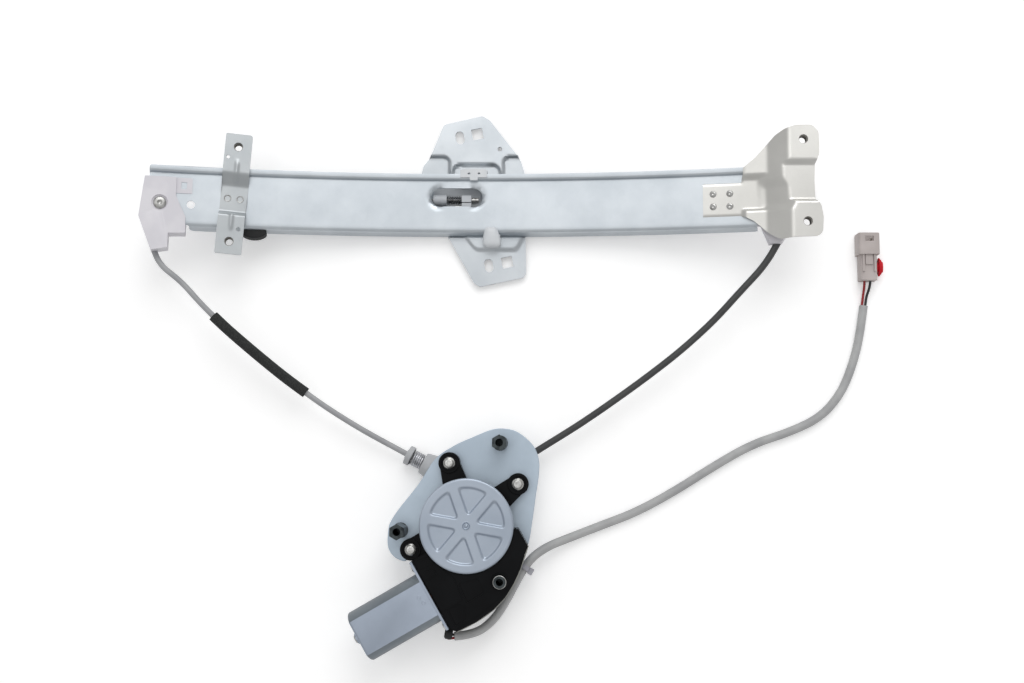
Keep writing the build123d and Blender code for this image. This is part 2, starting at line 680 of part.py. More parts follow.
def make_right_cable_guide():
    middle = RIGHT_MOUTH_X
    x0 = RAIL_MID_X - middle
    left, right = RIGHT_GUIDE_LEFT_X + x0, RIGHT_GUIDE_RIGHT_X + x0
    back_top = WEB_Z - RAIL_SHEET - TOUCH_GAP
    channel_low = WEB_LOW_Y + RAIL_SHEET + TOUCH_GAP
    rail_end = RAIL_RIGHT + x0 + 2.0
    half = RIGHT_MOUTH_WIDTH / 2
    outline = [(left, channel_low), (left, RIGHT_GUIDE_TOP_Y), (rail_end, RIGHT_GUIDE_TOP_Y)]
    outline += [(right, RIGHT_GUIDE_TOP_Y - 6), (right, WEB_LOW_Y + 2)]
    outline += [(RAIL_MID_X + half, RIGHT_MOUTH_Y), (RAIL_MID_X - half, RIGHT_MOUTH_Y)]
    outline += [(rail_end, WEB_LOW_Y - 4), (rail_end, channel_low)]
    body = slab(outline, back_top - RIGHT_GUIDE_BACK, RIGHT_GUIDE_BACK)
    body = on_rail(body, middle) - right_guide_channel()
    low, top, pass_z = RIGHT_MOUTH_Y - 6, RIGHT_GUIDE_TOP_Y + 6, WEB_Z - CARRIER_PASS_DEPTH
    below = yz_face([(low, pass_z - 9), (top, pass_z - 9), (top, pass_z), (low, pass_z)], RAIL_MID_X)
    body -= along_rail(below, RIGHT_GUIDE_LEFT_X - 5, middle - 9)
    hole = post(RAIL_MID_X, 0, WEB_Z - GUIDE_BACK - 6, TAB_RIVET_SHANK, GUIDE_BACK + 8)
    for x in TAB_RIVET_XS:
        for y in TAB_RIVET_YS:
            body -= on_rail(Pos(0, y, 0) * hole, x)
    return body


def right_guide_channel():
    """The space that the cable and its conduit take up in the right guide."""
    out = -CABLE_DEPTH
    socket_y = RIGHT_MOUTH_Y + RIGHT_SOCKET_DEPTH
    points = [
        rail_point(RIGHT_GUIDE_LEFT_X - 4, RIGHT_CABLE_Y, out),
        rail_point(right_exit_point(RIGHT_CABLE_Y), RIGHT_CABLE_Y, out),
        rail_point(right_exit_point(socket_y), socket_y, out),
    ]
    way = tube(points, [RIGHT_TURN_RADIUS], CHANNEL_RADIUS)
    line = Line(*[rail_point(right_exit_point(y), y, out) for y in (socket_y, RIGHT_MOUTH_Y - 8)])
    section = Plane(origin=line @ 0, z_dir=line % 0) * Circle(RIGHT_CONDUIT_RADIUS + CONDUIT_FIT)
    return way + sweep(section, path=line)


# ---- rubber stop ----

def make_bump_stop():
    middle = (STOP_LEFT + STOP_RIGHT) / 2
    half = (STOP_RIGHT - STOP_LEFT) / 2
    top = WEB_Z - RAIL_SHEET - TOUCH_GAP
    body = block((RAIL_MID_X - half, STOP_LOW_Y, top - STOP_HEIGHT - 2), (RAIL_MID_X + half, STOP_TOP_Y, top))
    body = rounded(body, 1.5)
    body = on_rail(body, middle)
    lean = FLANGE_LEAN + TOUCH_GAP
    gap = [(WEB_LOW_Y + RAIL_SHEET + TOUCH_GAP, WEB_Z), (WEB_LOW_Y - TOUCH_GAP, WEB_Z)]
    gap += [(WEB_LOW_Y - lean - 0.2, WEB_Z - FLANGE_DROP - 0.2)]
    gap += [(WEB_LOW_Y - lean + RAIL_SHEET + 0.2, WEB_Z - FLANGE_DROP - 0.2)]
    over = [(STOP_LOW_Y - 1, WEB_Z - 3), (WEB_LOW_Y, WEB_Z - 3), (WEB_LOW_Y, WEB_Z + 1), (STOP_LOW_Y - 1, WEB_Z + 1)]
    body -= along_rail(yz_face(gap, RAIL_MID_X), STOP_LEFT - 4, STOP_RIGHT + 4)
    return body - along_rail(yz_face(over, RAIL_MID_X), STOP_LEFT - 4, STOP_RIGHT + 4)


# ---- glass carrier ----

def slot_hole(x, y, z, length, half_width, angle):
    return Pos(x, y, z) * Rot(0, 0, angle) * extrude(SlotOverall(length, 2 * half_width), 8)


def carrier_outline():
    upper = [(CARRIER_UPPER_LEFT, 216.0), (CARRIER_UPPER_LEFT, 250.5), (-35.6, 256.5), (-29.8, 263.8)]
    upper += [(-20.8, 286.5), (7.3, 293.0), (12.5, 289.7), (35.1, 260.5), (CARRIER_RIGHT, 250.5)]
    lower = [(CARRIER_RIGHT + 0.6, 203.5), (39.4, 177.2), (37.4, 174.3), (6.2, 167.6), (2.2, 170.0)]
    return upper + lower + [(CARRIER_LOWER_LEFT, 204.2), (CARRIER_LOWER_LEFT, 216.0)]


def flat_face(points):
    return make_face(Polyline(*points, close=True))


def carrier_band():
    """The low middle of the carrier seen from above, with the sunk pads and the well that widen it."""
    far = 80.0
    band = flat_face([(-far, BAND_LOW_Y), (far, BAND_LOW_Y), (far, BAND_TOP_Y), (-far, BAND_TOP_Y)])
    for start, end, top, radius in (
            (-far, LEFT_PAD_EDGE, PAD_TOP_Y, PAD_RADIUS), (RIGHT_PAD_EDGE, far, PAD_TOP_Y, PAD_RADIUS),
            (WELL_LEFT, WELL_RIGHT, WELL_TOP_Y, WELL_RADIUS)):
        low = BAND_TOP_Y - 2 * radius
        band += Pos((start + end) / 2, (low + top) / 2) * RectangleRounded(end - start, top - low, radius)
    return band


def carrier_boss():
    """The raised ground under the lower shoe, seen from above."""
    left, right = BOSS_SLANTS
    face = flat_face([(BOSS_LEFT + left, BOSS_LOW_Y), (BOSS_RIGHT - right, BOSS_LOW_Y),
                      (BOSS_RIGHT, BAND_LOW_Y), (BOSS_LEFT, BAND_LOW_Y)])
    return fillet(face.vertices().sort_by(Axis.Y)[:2], BOSS_RADIUS)


def make_glass_carrier():
    cut, band, boss = flat_face(carrier_outline()), carrier_band(), carrier_boss()
    ears = cut - band - boss
    ear_top, boss_top = EAR_RISE + CARRIER_SHEET, EAR_RISE + BOSS_RISE + CARRIER_SHEET
    plate = extrude(cut & band, CARRIER_SHEET) + Pos(0, 0, EAR_RISE) * extrude(ears, CARRIER_SHEET)
    plate += extrude(ears & offset(band, CARRIER_SHEET), ear_top)
    plate += Pos(0, 0, EAR_RISE + BOSS_RISE) * extrude(boss, CARRIER_SHEET)
    plate += Pos(0, 0, EAR_RISE) * extrude(boss - offset(boss, -CARRIER_SHEET), boss_top - EAR_RISE)
    plate += extrude(boss & offset(band, CARRIER_SHEET), boss_top)
    for x, y in CARRIER_SLOTS:
        plate -= slot_hole(x, y, -1, SLOT_LENGTH, SLOT_HALF_WIDTH, 90 + EAR_LEAN)
    for x, y in CARRIER_SQUARES:
        square = Rot(0, 0, EAR_LEAN) * extrude(Rectangle(SQUARE_HOLE, SQUARE_HOLE), 8)
        plate -= Pos(x, y, -1) * square
    plate -= post(20.0, 268.4, -1, 1.7, 8)
    for x, y in ANCHOR_PEGS:
        plate -= post(x, y, -1, PEG_RADIUS, 8)
    return plate


# ---- sliding shoes ----

def make_top_shoe():
    """A slider that grips the rail's top lip from both sides."""
    floor = CARRIER_SHEET + TOUCH_GAP
    lip_edge = WEB_TOP_Y + LIP_STEP + LIP_WIDTH
    front = WEB_Z + LIP_RISE + SHOE_GAP
    behind = WEB_Z + LIP_RISE - RAIL_SHEET - SHOE_GAP
    shoe = block((SHOE_LEFT, lip_edge + SHOE_GAP, floor), (SHOE_RIGHT, BAND_TOP_Y - 0.1, front + 1))
    shoe += block((SHOE_LEFT, lip_edge - 1.2, floor), (SHOE_RIGHT, lip_edge + 1, behind))
    front_tab = block((SHOE_LEFT, lip_edge - 2.6, front), (SHOE_RIGHT, SHOE_TOP_Y, front + SHOE_FRONT))
    front_tab += block((NOSE_LEFT, SHOE_LOW_Y, front), (NOSE_RIGHT, SHOE_TOP_Y, front + SHOE_FRONT))
    front_tab -= post(-1.5, lip_edge + 1.4, front - 1, 0.9, 6) + post(5.6, lip_edge + 1.4, front - 1, 0.9, 6)
    return shoe + rounded(front_tab, 0.8)


def make_bottom_shoe():
    """A slider that hooks round the rail's lower flange."""
    floor = CARRIER_SHEET + TOUCH_GAP
    front = WEB_Z + SHOE_GAP
    outside = WEB_LOW_Y - FLANGE_LEAN - SHOE_GAP
    ramp_top = EAR_RISE + BOSS_RISE + CARRIER_SHEET + TOUCH_GAP
    shoe = block((HOOK_LEFT, HOOK_LOW_Y, ramp_top), (HOOK_RIGHT, outside - 0.6, front + 1))
    shoe += block((HOOK_LEFT, BAND_LOW_Y + 0.1, floor), (HOOK_RIGHT, outside, front - 2))
    shoe += block((HOOK_LEFT, BAND_LOW_Y + 0.1, floor), (HOOK_RIGHT, 211.0, floor + 1.0))
    shoe += block((HOOK_LEFT, WEB_LOW_Y + RAIL_SHEET + 0.5, floor), (HOOK_RIGHT, 211.0, WEB_Z - RAIL_SHEET - SHOE_GAP))
    tip = [(HOOK_LEFT, HOOK_LOW_Y), (HOOK_RIGHT, HOOK_LOW_Y), (HOOK_RIGHT, outside - 0.6)]
    tip += [(HOOK_RIGHT - 3.5, HOOK_TOP_Y), (HOOK_LEFT + 1.4, HOOK_TOP_Y), (HOOK_LEFT, outside - 0.6)]
    return shoe + rounded(slab(tip, front, SHOE_FRONT), 1.0)


# ---- cable anchor on the carrier ----

def along_x(x, y, z, radius, length):
    """A round bar from x in the direction of the rail."""
    return Pos(x, y, z) * Rot(0, 90, 0) * Cylinder(radius, length, align=UP)


def make_cable_anchor():
    floor = CARRIER_SHEET + TOUCH_GAP
    base = block((ANCHOR_LEFT, 216.5, floor), (ANCHOR_RIGHT, 239.5, floor + ANCHOR_BASE))
    anchor = rounded(base, 2.0)
    for x, y in ANCHOR_PEGS:
        anchor += post(x, y, 0.2, PEG_RADIUS, floor)
    half = ANCHOR_BLOCK_HEIGHT / 2
    for y in (LEFT_CABLE_Y, RIGHT_CABLE_Y):
        anchor += block((BLOCK_LEFT, y - half, floor), (BLOCK_RIGHT, y + half, WEB_Z - RAIL_SHEET - CLEARANCE))
    barrel = along_x(ANCHOR_LEFT, LEFT_CABLE_Y, CABLE_Z, BARREL_RADIUS, BARREL_RIGHT - ANCHOR_LEFT)
    barrel += block((ANCHOR_LEFT, LEFT_CABLE_Y - 3, floor), (BARREL_RIGHT, LEFT_CABLE_Y + 3, CABLE_Z))
    anchor += barrel
    anchor -= along_x(BARREL_RIGHT, LEFT_CABLE_Y, CABLE_Z, ANCHOR_COIL_RADIUS + 0.7, BLOCK_LEFT - BARREL_RIGHT)
    for y in (LEFT_CABLE_Y, RIGHT_CABLE_Y):
        anchor -= along_x(ANCHOR_LEFT - 1, y, CABLE_Z, CABLE_RADIUS + 0.9, ANCHOR_RIGHT - ANCHOR_LEFT + 2)
    return anchor


def make_anchor_spring():
    height = BLOCK_LEFT - BARREL_RIGHT - 2 * (ANCHOR_WIRE_RADIUS + TOUCH_GAP)
    spring = coil(ANCHOR_COIL_RADIUS, ANCHOR_WIRE_RADIUS, height, ANCHOR_COIL_TURNS)
    start = BARREL_RIGHT + ANCHOR_WIRE_RADIUS + TOUCH_GAP
    return Pos(start, LEFT_CABLE_Y, CABLE_Z) * Rot(0, 90, 0) * spring


def coil(radius, wire, height, turns, lefthand=False):
    """A helical spring standing on its first turn's centre."""
    path = Helix(height / turns, height, radius, lefthand=lefthand)
    return sweep(Plane(origin=path @ 0, z_dir=path % 0) * Circle(wire), path=path, is_frenet=True)


def make_cable_ferrules():
    left = along_x(BLOCK_RIGHT + TOUCH_GAP, LEFT_CABLE_Y, CABLE_Z, FERRULE_RADIUS, FERRULE_LENGTH)
    right_x = BLOCK_LEFT - TOUCH_GAP - FERRULE_LENGTH
    right = along_x(right_x, RIGHT_CABLE_Y, CABLE_Z, FERRULE_RADIUS, FERRULE_LENGTH)
    return [left, right]


def cable_run(y, left, right):
    """A cable lying along the back of the rail's curve."""
    face = Plane((RAIL_MID_X, y, CABLE_Z), z_dir=(1, 0, 0)) * Circle(CABLE_RADIUS)
    return along_rail(face, left, right)


def make_left_cable_run():
    return cable_run(LEFT_CABLE_Y, GUIDE_RIGHT_X, BLOCK_RIGHT - 0.5)


def make_right_cable_run():
    return cable_run(RIGHT_CABLE_Y, BLOCK_LEFT + 0.5, RIGHT_GUIDE_LEFT_X)


# ---- conduits and the cables in them ----

def line_point(angle, distance, z, offset=0.0):
    """A place on the line along which a cable leaves the drum, by distance from the drum."""
    side = 1 if angle > 90 else -1
    meet = angle - side * 90
    x, y, _ = polar(DRUM_WIND_RADIUS + offset, meet)
    dx, dy, _ = polar(distance, angle)
    return (x + dx, y + dy, z)


def left_line(distance, z=LEFT_PORT_Z):
    return line_point(LEFT_LINE_ANGLE, distance, z)


def right_line(distance, z=RIGHT_PORT_Z):
    return line_point(RIGHT_LINE_ANGLE, distance, z)


def left_route():
    """The left conduit's route, from its seat by the drum up to its socket in the guide."""
    out = -CABLE_DEPTH
    socket_y = LEFT_MOUTH_Y + LEFT_SOCKET_DEPTH
    return [
        left_line(SEAT_SOCKET_START), left_line(SPRING_END + CAP_RIM + CAP_NOSE + 7),
        (-76.0, 64.9, 10.8), (-101.0, 80.4, 14.8), (-129.0, 100.5, 18.6), (-148.5, 116.3, 21.6),
        (-170.5, 135.0, 25.0), (-188.0, 152.0, 28.0), (-200.9, 166.8, 30.4),
        rail_point(left_exit_point(LEFT_MOUTH_Y - 10), LEFT_MOUTH_Y - 10, out),
        rail_point(left_exit_point(socket_y), socket_y, out),
    ]


SLEEVE_RUNS = (3, 6)


def right_route():
    """The right conduit's route, from its socket by the drum up to its socket in the guide."""
    out = -CABLE_DEPTH
    socket_y = RIGHT_MOUTH_Y + RIGHT_SOCKET_DEPTH
    return [
        right_line(RIGHT_PORT_END - 8), right_line(RIGHT_PORT_END + 8),
        (77.0, 69.0, 14.2), (98.0, 83.4, 16.2), (122.5, 101.0, 18.4), (147.5, 120.4, 20.6),
        (170.5, 141.4, 23.2), (189.0, 162.0, 25.9),
        rail_point(right_exit_point(RIGHT_MOUTH_Y - 14), RIGHT_MOUTH_Y - 14, out),
        rail_point(right_exit_point(socket_y), socket_y, out),
    ]


def make_left_conduit():
    points = left_route()
    return tube(points, bend_radii(points), LEFT_CONDUIT_RADIUS, CONDUIT_BORE_RADIUS)


def make_right_conduit():
    points = right_route()
    return tube(points, bend_radii(points), RIGHT_CONDUIT_RADIUS, CONDUIT_BORE_RADIUS)


def make_foam_sleeve():
    points = left_route()
    route, radii = part_of_route(points, bend_radii(points), *SLEEVE_RUNS)
    return tube(route, radii, SLEEVE_RADIUS, LEFT_CONDUIT_RADIUS + CONDUIT_FIT)


def make_left_inner_cable():
    points = left_route()
    radii = bend_radii(points)
    out = -CABLE_DEPTH
    points = [left_line(PAYOUT_GAP, LEFT_WIND_Z), left_line(SEAT_START - 6)] + points[1:-1]
    points += [rail_point(*left_corner(), out), rail_point(GUIDE_RIGHT_X, LEFT_CABLE_Y, out)]
    radii = [20.0] + radii[:-1] + [radii[-1], LEFT_CABLE_Y - LEFT_BOSS_Y]
    return tube(points, radii, CABLE_RADIUS)


def make_right_inner_cable():
    points = right_route()
    radii = bend_radii(points)
    out = -CABLE_DEPTH
    corner = rail_point(right_exit_point(RIGHT_CABLE_Y), RIGHT_CABLE_Y, out)
    points = [right_line(PAYOUT_GAP, RIGHT_WIND_Z), right_line(RIGHT_PORT_END - 22)] + points[1:-1]
    points += [corner, rail_point(RIGHT_GUIDE_LEFT_X, RIGHT_CABLE_Y, out)]
    return tube(points, [20.0] + radii + [RIGHT_TURN_RADIUS], CABLE_RADIUS)


# ---- drum and its housing ----

def make_drum_housing():
    outer = DRUM_FLANGE_RADIUS + DRUM_CLEARANCE + DRUM_WALL
    height = PLATE_Z - TOUCH_GAP
    housing = post(0, 0, 0, outer, height)
    for line, z, start, end in (
            (left_line, LEFT_PORT_Z, 16.0, SEAT_START), (right_line, RIGHT_PORT_Z, 16.0, RIGHT_PORT_END)):
        housing += rod(line(start, z), line(end, z), PORT_RADIUS)
    for x, y in LUG_PLACES:
        housing += post(x, y, 6, 5.5, height - 6)
        web = Rot(0, 0, degrees(atan2(y, x))) * block((outer - 3, -2, 6), (hypot(x, y) - 3, 2, height))
        housing += web
    housing -= post(0, 0, HOUSING_FLOOR, DRUM_FLANGE_RADIUS + DRUM_CLEARANCE, PLATE_Z)
    housing += post(0, 0, 0, HUB_BOSS_RADIUS, HUB_BOSS_TOP)
    housing -= post(0, 0, SHAFT_LOW_Z - 0.2, SHAFT_RADIUS + SHAFT_FIT, HUB_BOSS_TOP)
    housing -= rod(left_line(11), left_line(SEAT_START + 1), CHANNEL_RADIUS + 0.45)
    housing -= rod(right_line(11), right_line(RIGHT_PORT_END + 1), CHANNEL_RADIUS + 0.45)
    socket = RIGHT_CONDUIT_RADIUS + CONDUIT_FIT
    housing -= rod(right_line(RIGHT_PORT_END - 8), right_line(RIGHT_PORT_END + 1), socket)
    for x, y in LUG_PLACES:
        housing -= post(x, y, 8, SCREW_RADIUS + TOUCH_GAP, PLATE_Z)
    return housing


def rod(start, end, radius):
    """A round bar between two places."""
    a, b = Vector(*start), Vector(*end)
    return extrude(Plane(origin=a, z_dir=b - a) * Circle(radius), (b - a).length)


def make_cable_drum():
    drum = post(0, 0, DRUM_LOW_Z, DRUM_WIND_RADIUS - CABLE_RADIUS - TOUCH_GAP, DRUM_TOP_Z - DRUM_LOW_Z)
    drum += post(0, 0, DRUM_LOW_Z, DRUM_FLANGE_RADIUS, DRUM_FLANGE)
    drum += post(0, 0, DRUM_TOP_Z - DRUM_FLANGE, DRUM_FLANGE_RADIUS, DRUM_FLANGE)
    pocket = post(0, 0, DRUM_LOW_Z + 2.4, DRUM_WIND_RADIUS - 3.6, 20) - post(0, 0, DRUM_LOW_Z, 10.4, 24)
    for i in range(DRUM_RIBS):
        pocket -= Rot(0, 0, i * 360 / DRUM_RIBS) * block((0, -0.8, 0), (DRUM_WIND_RADIUS, 0.8, 30))
    drum -= pocket
    drum -= post(0, 0, 0, HUB_BOSS_RADIUS + CLEARANCE, HUB_BOSS_TOP + 0.4)
    return drum - post(0, 0, 0, SHAFT_RADIUS + TOUCH_GAP, 30)


def make_cable_wraps():
    start = LEFT_LINE_ANGLE - 90
    sweep_angle = WRAP_TURNS_MORE * 360 - (RIGHT_LINE_ANGLE + 90 - start)
    rise = RIGHT_WIND_Z - LEFT_WIND_Z
    wraps = coil(DRUM_WIND_RADIUS, CABLE_RADIUS, rise, sweep_angle / 360, lefthand=True)
    return Pos(0, 0, LEFT_WIND_Z) * Rot(0, 0, start) * wraps


def make_output_shaft():
    shaft = post(0, 0, SHAFT_LOW_Z, SHAFT_RADIUS, SHAFT_TOP_Z - SHAFT_LOW_Z)
    return shaft + post(0, 0, HUB_LOW_Z, DAMPER_INNER - TOUCH_GAP, HUB_TOP_Z - HUB_LOW_Z)


# ---- cable tensioner ----

def along_left_line(distance):
    """A plane across the left cable, facing away from the drum."""
    return Plane(origin=left_line(distance), z_dir=Vector(*left_line(1)) - Vector(*left_line(0)))


def make_tension_seat():
    length = SEAT_END - SEAT_START - TOUCH_GAP
    cone = Cone(SEAT_FOOT_RADIUS, SEAT_RADIUS, length, align=UP)
    seat = along_left_line(SEAT_START + TOUCH_GAP).location * cone
    seat -= block((-90, 0, SEAT_FLOOR_Z - 20), (0, 90, SEAT_FLOOR_Z))
    seat -= rod(left_line(SEAT_START - 1), left_line(SEAT_END + 1), CHANNEL_RADIUS)
    return seat - rod(left_line(SEAT_SOCKET_START), left_line(SEAT_END + 1), LEFT_CONDUIT_RADIUS + CONDUIT_FIT)


def make_tension_spring():
    wire = TENSION_WIRE_RADIUS + TOUCH_GAP
    length = SPRING_END - SEAT_END - 2 * wire
    spring = coil(TENSION_COIL_RADIUS, TENSION_WIRE_RADIUS, length, TENSION_TURNS)
    return along_left_line(SEAT_END + wire).location * spring


def make_tension_cap():
    cap = rod(left_line(SPRING_END), left_line(SPRING_END + CAP_RIM), CAP_RADIUS)
    cap += rod(left_line(SPRING_END), left_line(SPRING_END + CAP_RIM + CAP_NOSE), CAP_NOSE_RADIUS)
    return cap - rod(left_line(SEAT_END), left_line(SPRING_END + CAP_RIM + 9), LEFT_CONDUIT_RADIUS + CLEARANCE)


# ---- motor plate ----

PLATE_OUTLINE = (
    (-23.0, 44.8), (-9.6, 54.1), (3.0, 59.9), (15.6, 65.0), (24.0, 65.9), (32.4, 64.3),
    (40.0, 59.2), (45.9, 52.6), (48.8, 44.2), (48.8, 34.3), (46.8, 20.1), (44.4, 2.7),
    (41.5, -13.8), (35.5, -24.0), (31.0, -32.5), (28.0, -40.5), (24.5, -44.2), (19.0, -44.4),
    (10.0, -42.0), (-10.0, -36.0), (-28.0, -30.0), (-33.5, -27.0), (-36.5, -22.0), (-41.0, -24.0),
    (-44.0, -25.4), (-50.6, -22.5), (-54.9, -16.0), (-55.2, -6.1), (-53.5, 1.4), (-46.9, 11.4),
    (-34.5, 27.2),
)


def make_motor_plate():
    plate = slab(PLATE_OUTLINE, PLATE_Z, PLATE_SHEET) - post(0, 0, PLATE_Z - 1, 9, 6)
    for x, y in LUG_PLACES:
        plate -= post(x, y, PLATE_Z - 1, SCREW_RADIUS + TOUCH_GAP, 6)
    for x, y in STANDOFF_PLACES:
        plate -= post(x, y, PLATE_Z - 1, NUT_HOLE_RADIUS, 6)
    return plate


def make_standoffs():
    low = PLATE_Z + PLATE_SHEET + TOUCH_GAP
    height = STANDOFF_TOP_Z - low
    made = []
    for x, y in STANDOFF_PLACES[:2]:
        body = Pos(x, y, low) * extrude(RegularPolygon(STANDOFF_FLATS / 2, 6, major_radius=False), height)
        body += post(x, y, low, STANDOFF_COLLAR_RADIUS, STANDOFF_COLLAR)
        made.append(body - post(x, y, low - 1, THREAD_RADIUS, height + 2))
    x, y = STANDOFF_PLACES[2]
    made.append(post(x, y, low, STANDOFF_TUBE_RADIUS, height) - post(x, y, low - 1, THREAD_RADIUS, height + 2))
    return made


def make_motor_screws():
    made = []
    seat = HOUSING_BASE_Z + LUG_HEIGHT + TOUCH_GAP
    for x, y in LUG_PLACES:
        screw = post(x, y, 9, SCREW_RADIUS, seat - 9)
        screw += post(x, y, seat, SCREW_HEAD_RADIUS + 0.9, SCREW_FLANGE_HEIGHT)
        screw += post(x, y, seat, SCREW_HEAD_RADIUS, SCREW_HEAD_HEIGHT)
        hexagon = RegularPolygon(SCREW_SOCKET_RADIUS, 6)
        made.append(screw - Pos(x, y, seat + 1.2) * extrude(hexagon, SCREW_HEAD_HEIGHT))
    return made


# ---- gear housing ----

BOX_OUTLINE = (
    (-43.35, 27.0), (-43.35, -24.4), (-41.0, -27.5), (-21.2, -26.7), (0.2, -23.0),
    (16.5, -13.2), (29.3, -3.1), (29.3, 10.0), (0.0, 27.0),
)


def on_motor(shape):
    """A shape made along +X through the origin, moved onto the worm's axis."""
    out = WORM_ANGLE - 90
    x, y, z = polar(CENTRE_DISTANCE, out, WORM_Z)
    return Pos(x, y, z) * Rot(0, 0, WORM_ANGLE) * shape


def bar(start, end, radius):
    """A round bar along the worm's axis."""
    return Pos(start, 0, 0) * Rot(0, 90, 0) * Cylinder(radius, end - start, align=UP)


def make_gear_housing():
    low = HOUSING_BASE_Z + TOUCH_GAP
    housing = post(0, 0, low, POT_RADIUS, POT_TOP - low)
    housing += on_motor(slab(BOX_OUTLINE, low - WORM_Z, BOX_TOP - low))
    for x, y in LUG_PLACES:
        arm = Rot(0, 0, degrees(atan2(y, x))) * block((20, -6, low), (hypot(x, y), 6, low + LUG_HEIGHT - 1.5))
        housing += arm + post(x, y, low, LUG_RADIUS, LUG_HEIGHT - TOUCH_GAP)
    housing -= post(0, 0, low + POT_FLOOR, POT_BORE_RADIUS, 30)
    housing -= post(0, 0, low - 1, SHAFT_RADIUS + SHAFT_FIT, 6)
    tunnel = bar(FRONT_BUSH_START + BUSH_LENGTH, END_BUSH_START, TUNNEL_RADIUS)
    tunnel += bar(FRONT_BUSH_START, END_BUSH_START + BUSH_LENGTH, BUSH_RADIUS + TOUCH_GAP)
    tunnel += bar(FLANGE_FACE, THRUST_PAD_START + THRUST_PAD_LENGTH + 0.1, THRUST_PAD_RADIUS + TOUCH_GAP)
    cavity = block((FLANGE_FACE, -CAVITY_HALF_WIDTH, -CAVITY_HALF_HEIGHT),
                   (-35.5, CAVITY_HALF_WIDTH, BOX_TOP - WORM_Z - 1.5))
    for side in (-1, 1):
        cavity += Pos(0, side * CAN_SCREW_OFFSET, 0) * bar(FLANGE_FACE, -35, CAN_SCREW_RADIUS + TOUCH_GAP)
    housing -= on_motor(tunnel + cavity)
    for x, y in LUG_PLACES:
        housing -= post(x, y, low - 1, SCREW_RADIUS + TOUCH_GAP, 30)
    x, y = STANDOFF_PLACES[2]
    return housing - post(x, y, low - 1, STANDOFF_TUBE_RADIUS + TOUCH_GAP, 30)


def make_gear_cover():
    low = HOUSING_TOP_Z + 0.2
    cover = post(0, 0, low - COVER_RIM + 0.6, COVER_RADIUS, COVER_RIM - 0.6 + COVER_SHEET)
    cover -= post(0, 0, low - COVER_RIM, POT_RADIUS + 0.1, COVER_RIM)
    inner, outer = 0.27 * COVER_RADIUS, 0.815 * COVER_RADIUS
    for i in range(6):
        tip = polar(inner, 80 + 60 * i)
        left, right = polar(outer, 80 + 60 * i - 19), polar(outer, 80 + 60 * i + 19)
        sector = slab([tip, left, right], low + COVER_SHEET / 2, COVER_SHEET)
        cover -= rounded(sector, 2.0)
    return cover


def make_gear_cover_seal():
    ring = post(0, 0, POT_TOP + TOUCH_GAP, POT_RADIUS - SEAL_INSET, HOUSING_TOP_Z + 0.1 - POT_TOP)
    return ring - post(0, 0, POT_TOP - 1, POT_BORE_RADIUS + SEAL_INSET, 6)


# ---- worm, wheel and damper ----

def make_worm_wheel():
    pitch_radius = GEAR_MODULE * WHEEL_TEETH / 2
    root, tip = pitch_radius - TOOTH_DEDENDUM, pitch_radius + TOOTH_ADDENDUM
    half = WHEEL_TOOTH_SHARE * pi * GEAR_MODULE / 2
    spread = tan(radians(FLANK_ANGLE))
    at_root = degrees((half + TOOTH_DEDENDUM * spread) / root)
    at_tip = degrees((half - TOOTH_ADDENDUM * spread) / tip)
    outline = []
    for i in range(WHEEL_TEETH):
        middle = WORM_ANGLE - 90 + (i + 0.5) * 360 / WHEEL_TEETH
        outline += [polar(root, middle - at_root), polar(tip, middle - at_tip)]
        outline += [polar(tip, middle + at_tip), polar(root, middle + at_root)]
    low = WORM_Z - WHEEL_FACE / 2
    wheel = slab(outline, low, WHEEL_FACE)
    dish = post(0, 0, low, pitch_radius - 4.2, 2.2) - post(0, 0, low - 1, WHEEL_BORE + 3, 30)
    wheel -= dish + Pos(0, 0, WHEEL_FACE - 2.2) * dish
    return wheel - post(0, 0, low - 1, WHEEL_BORE, 20)


def make_wheel_damper():
    low = WORM_Z - WHEEL_FACE / 2 + 0.4
    height = WHEEL_FACE - 0.8
    return post(0, 0, low, WHEEL_BORE - TOUCH_GAP, height) - post(0, 0, low - 1, DAMPER_INNER, height + 2)


def make_worm():
    lead = pi * GEAR_MODULE
    pitch_radius = CENTRE_DISTANCE - GEAR_MODULE * WHEEL_TEETH / 2
    core = pitch_radius - TOOTH_DEDENDUM
    half = WORM_TOOTH_SHARE * lead / 2
    spread = tan(radians(FLANK_ANGLE))
    wide, narrow = half + TOOTH_DEDENDUM * spread, half - TOOTH_ADDENDUM * spread
    length = WORM_END - WORM_START - 2 * lead
    path = Helix(lead, length, core)
    across = TOOTH_DEDENDUM + TOOTH_ADDENDUM
    outline = Polyline((-0.2, -wide), (across, -narrow), (across, narrow), (-0.2, wide), close=True)
    profile = Plane(origin=path @ 0, x_dir=(1, 0, 0), z_dir=path % 0) * make_face(outline)
    thread = sweep(profile, path=path, is_frenet=True)
    turn = 90 + 360 * (WORM_START + lead) / lead
    body = Rot(0, 0, turn) * (Pos(0, 0, WORM_START + lead) * thread)
    body += post(0, 0, WORM_START, core, WORM_END - WORM_START)
    body -= post(0, 0, WORM_START - 1, SPINDLE_RADIUS, 40)
    return on_motor(Rot(0, 90, 0) * body)


# ---- motor ----

def can_shape(radius, half_height, start, end):
    return bar(start, end, radius) & block((start, -30, -half_height), (end, 30, half_height))


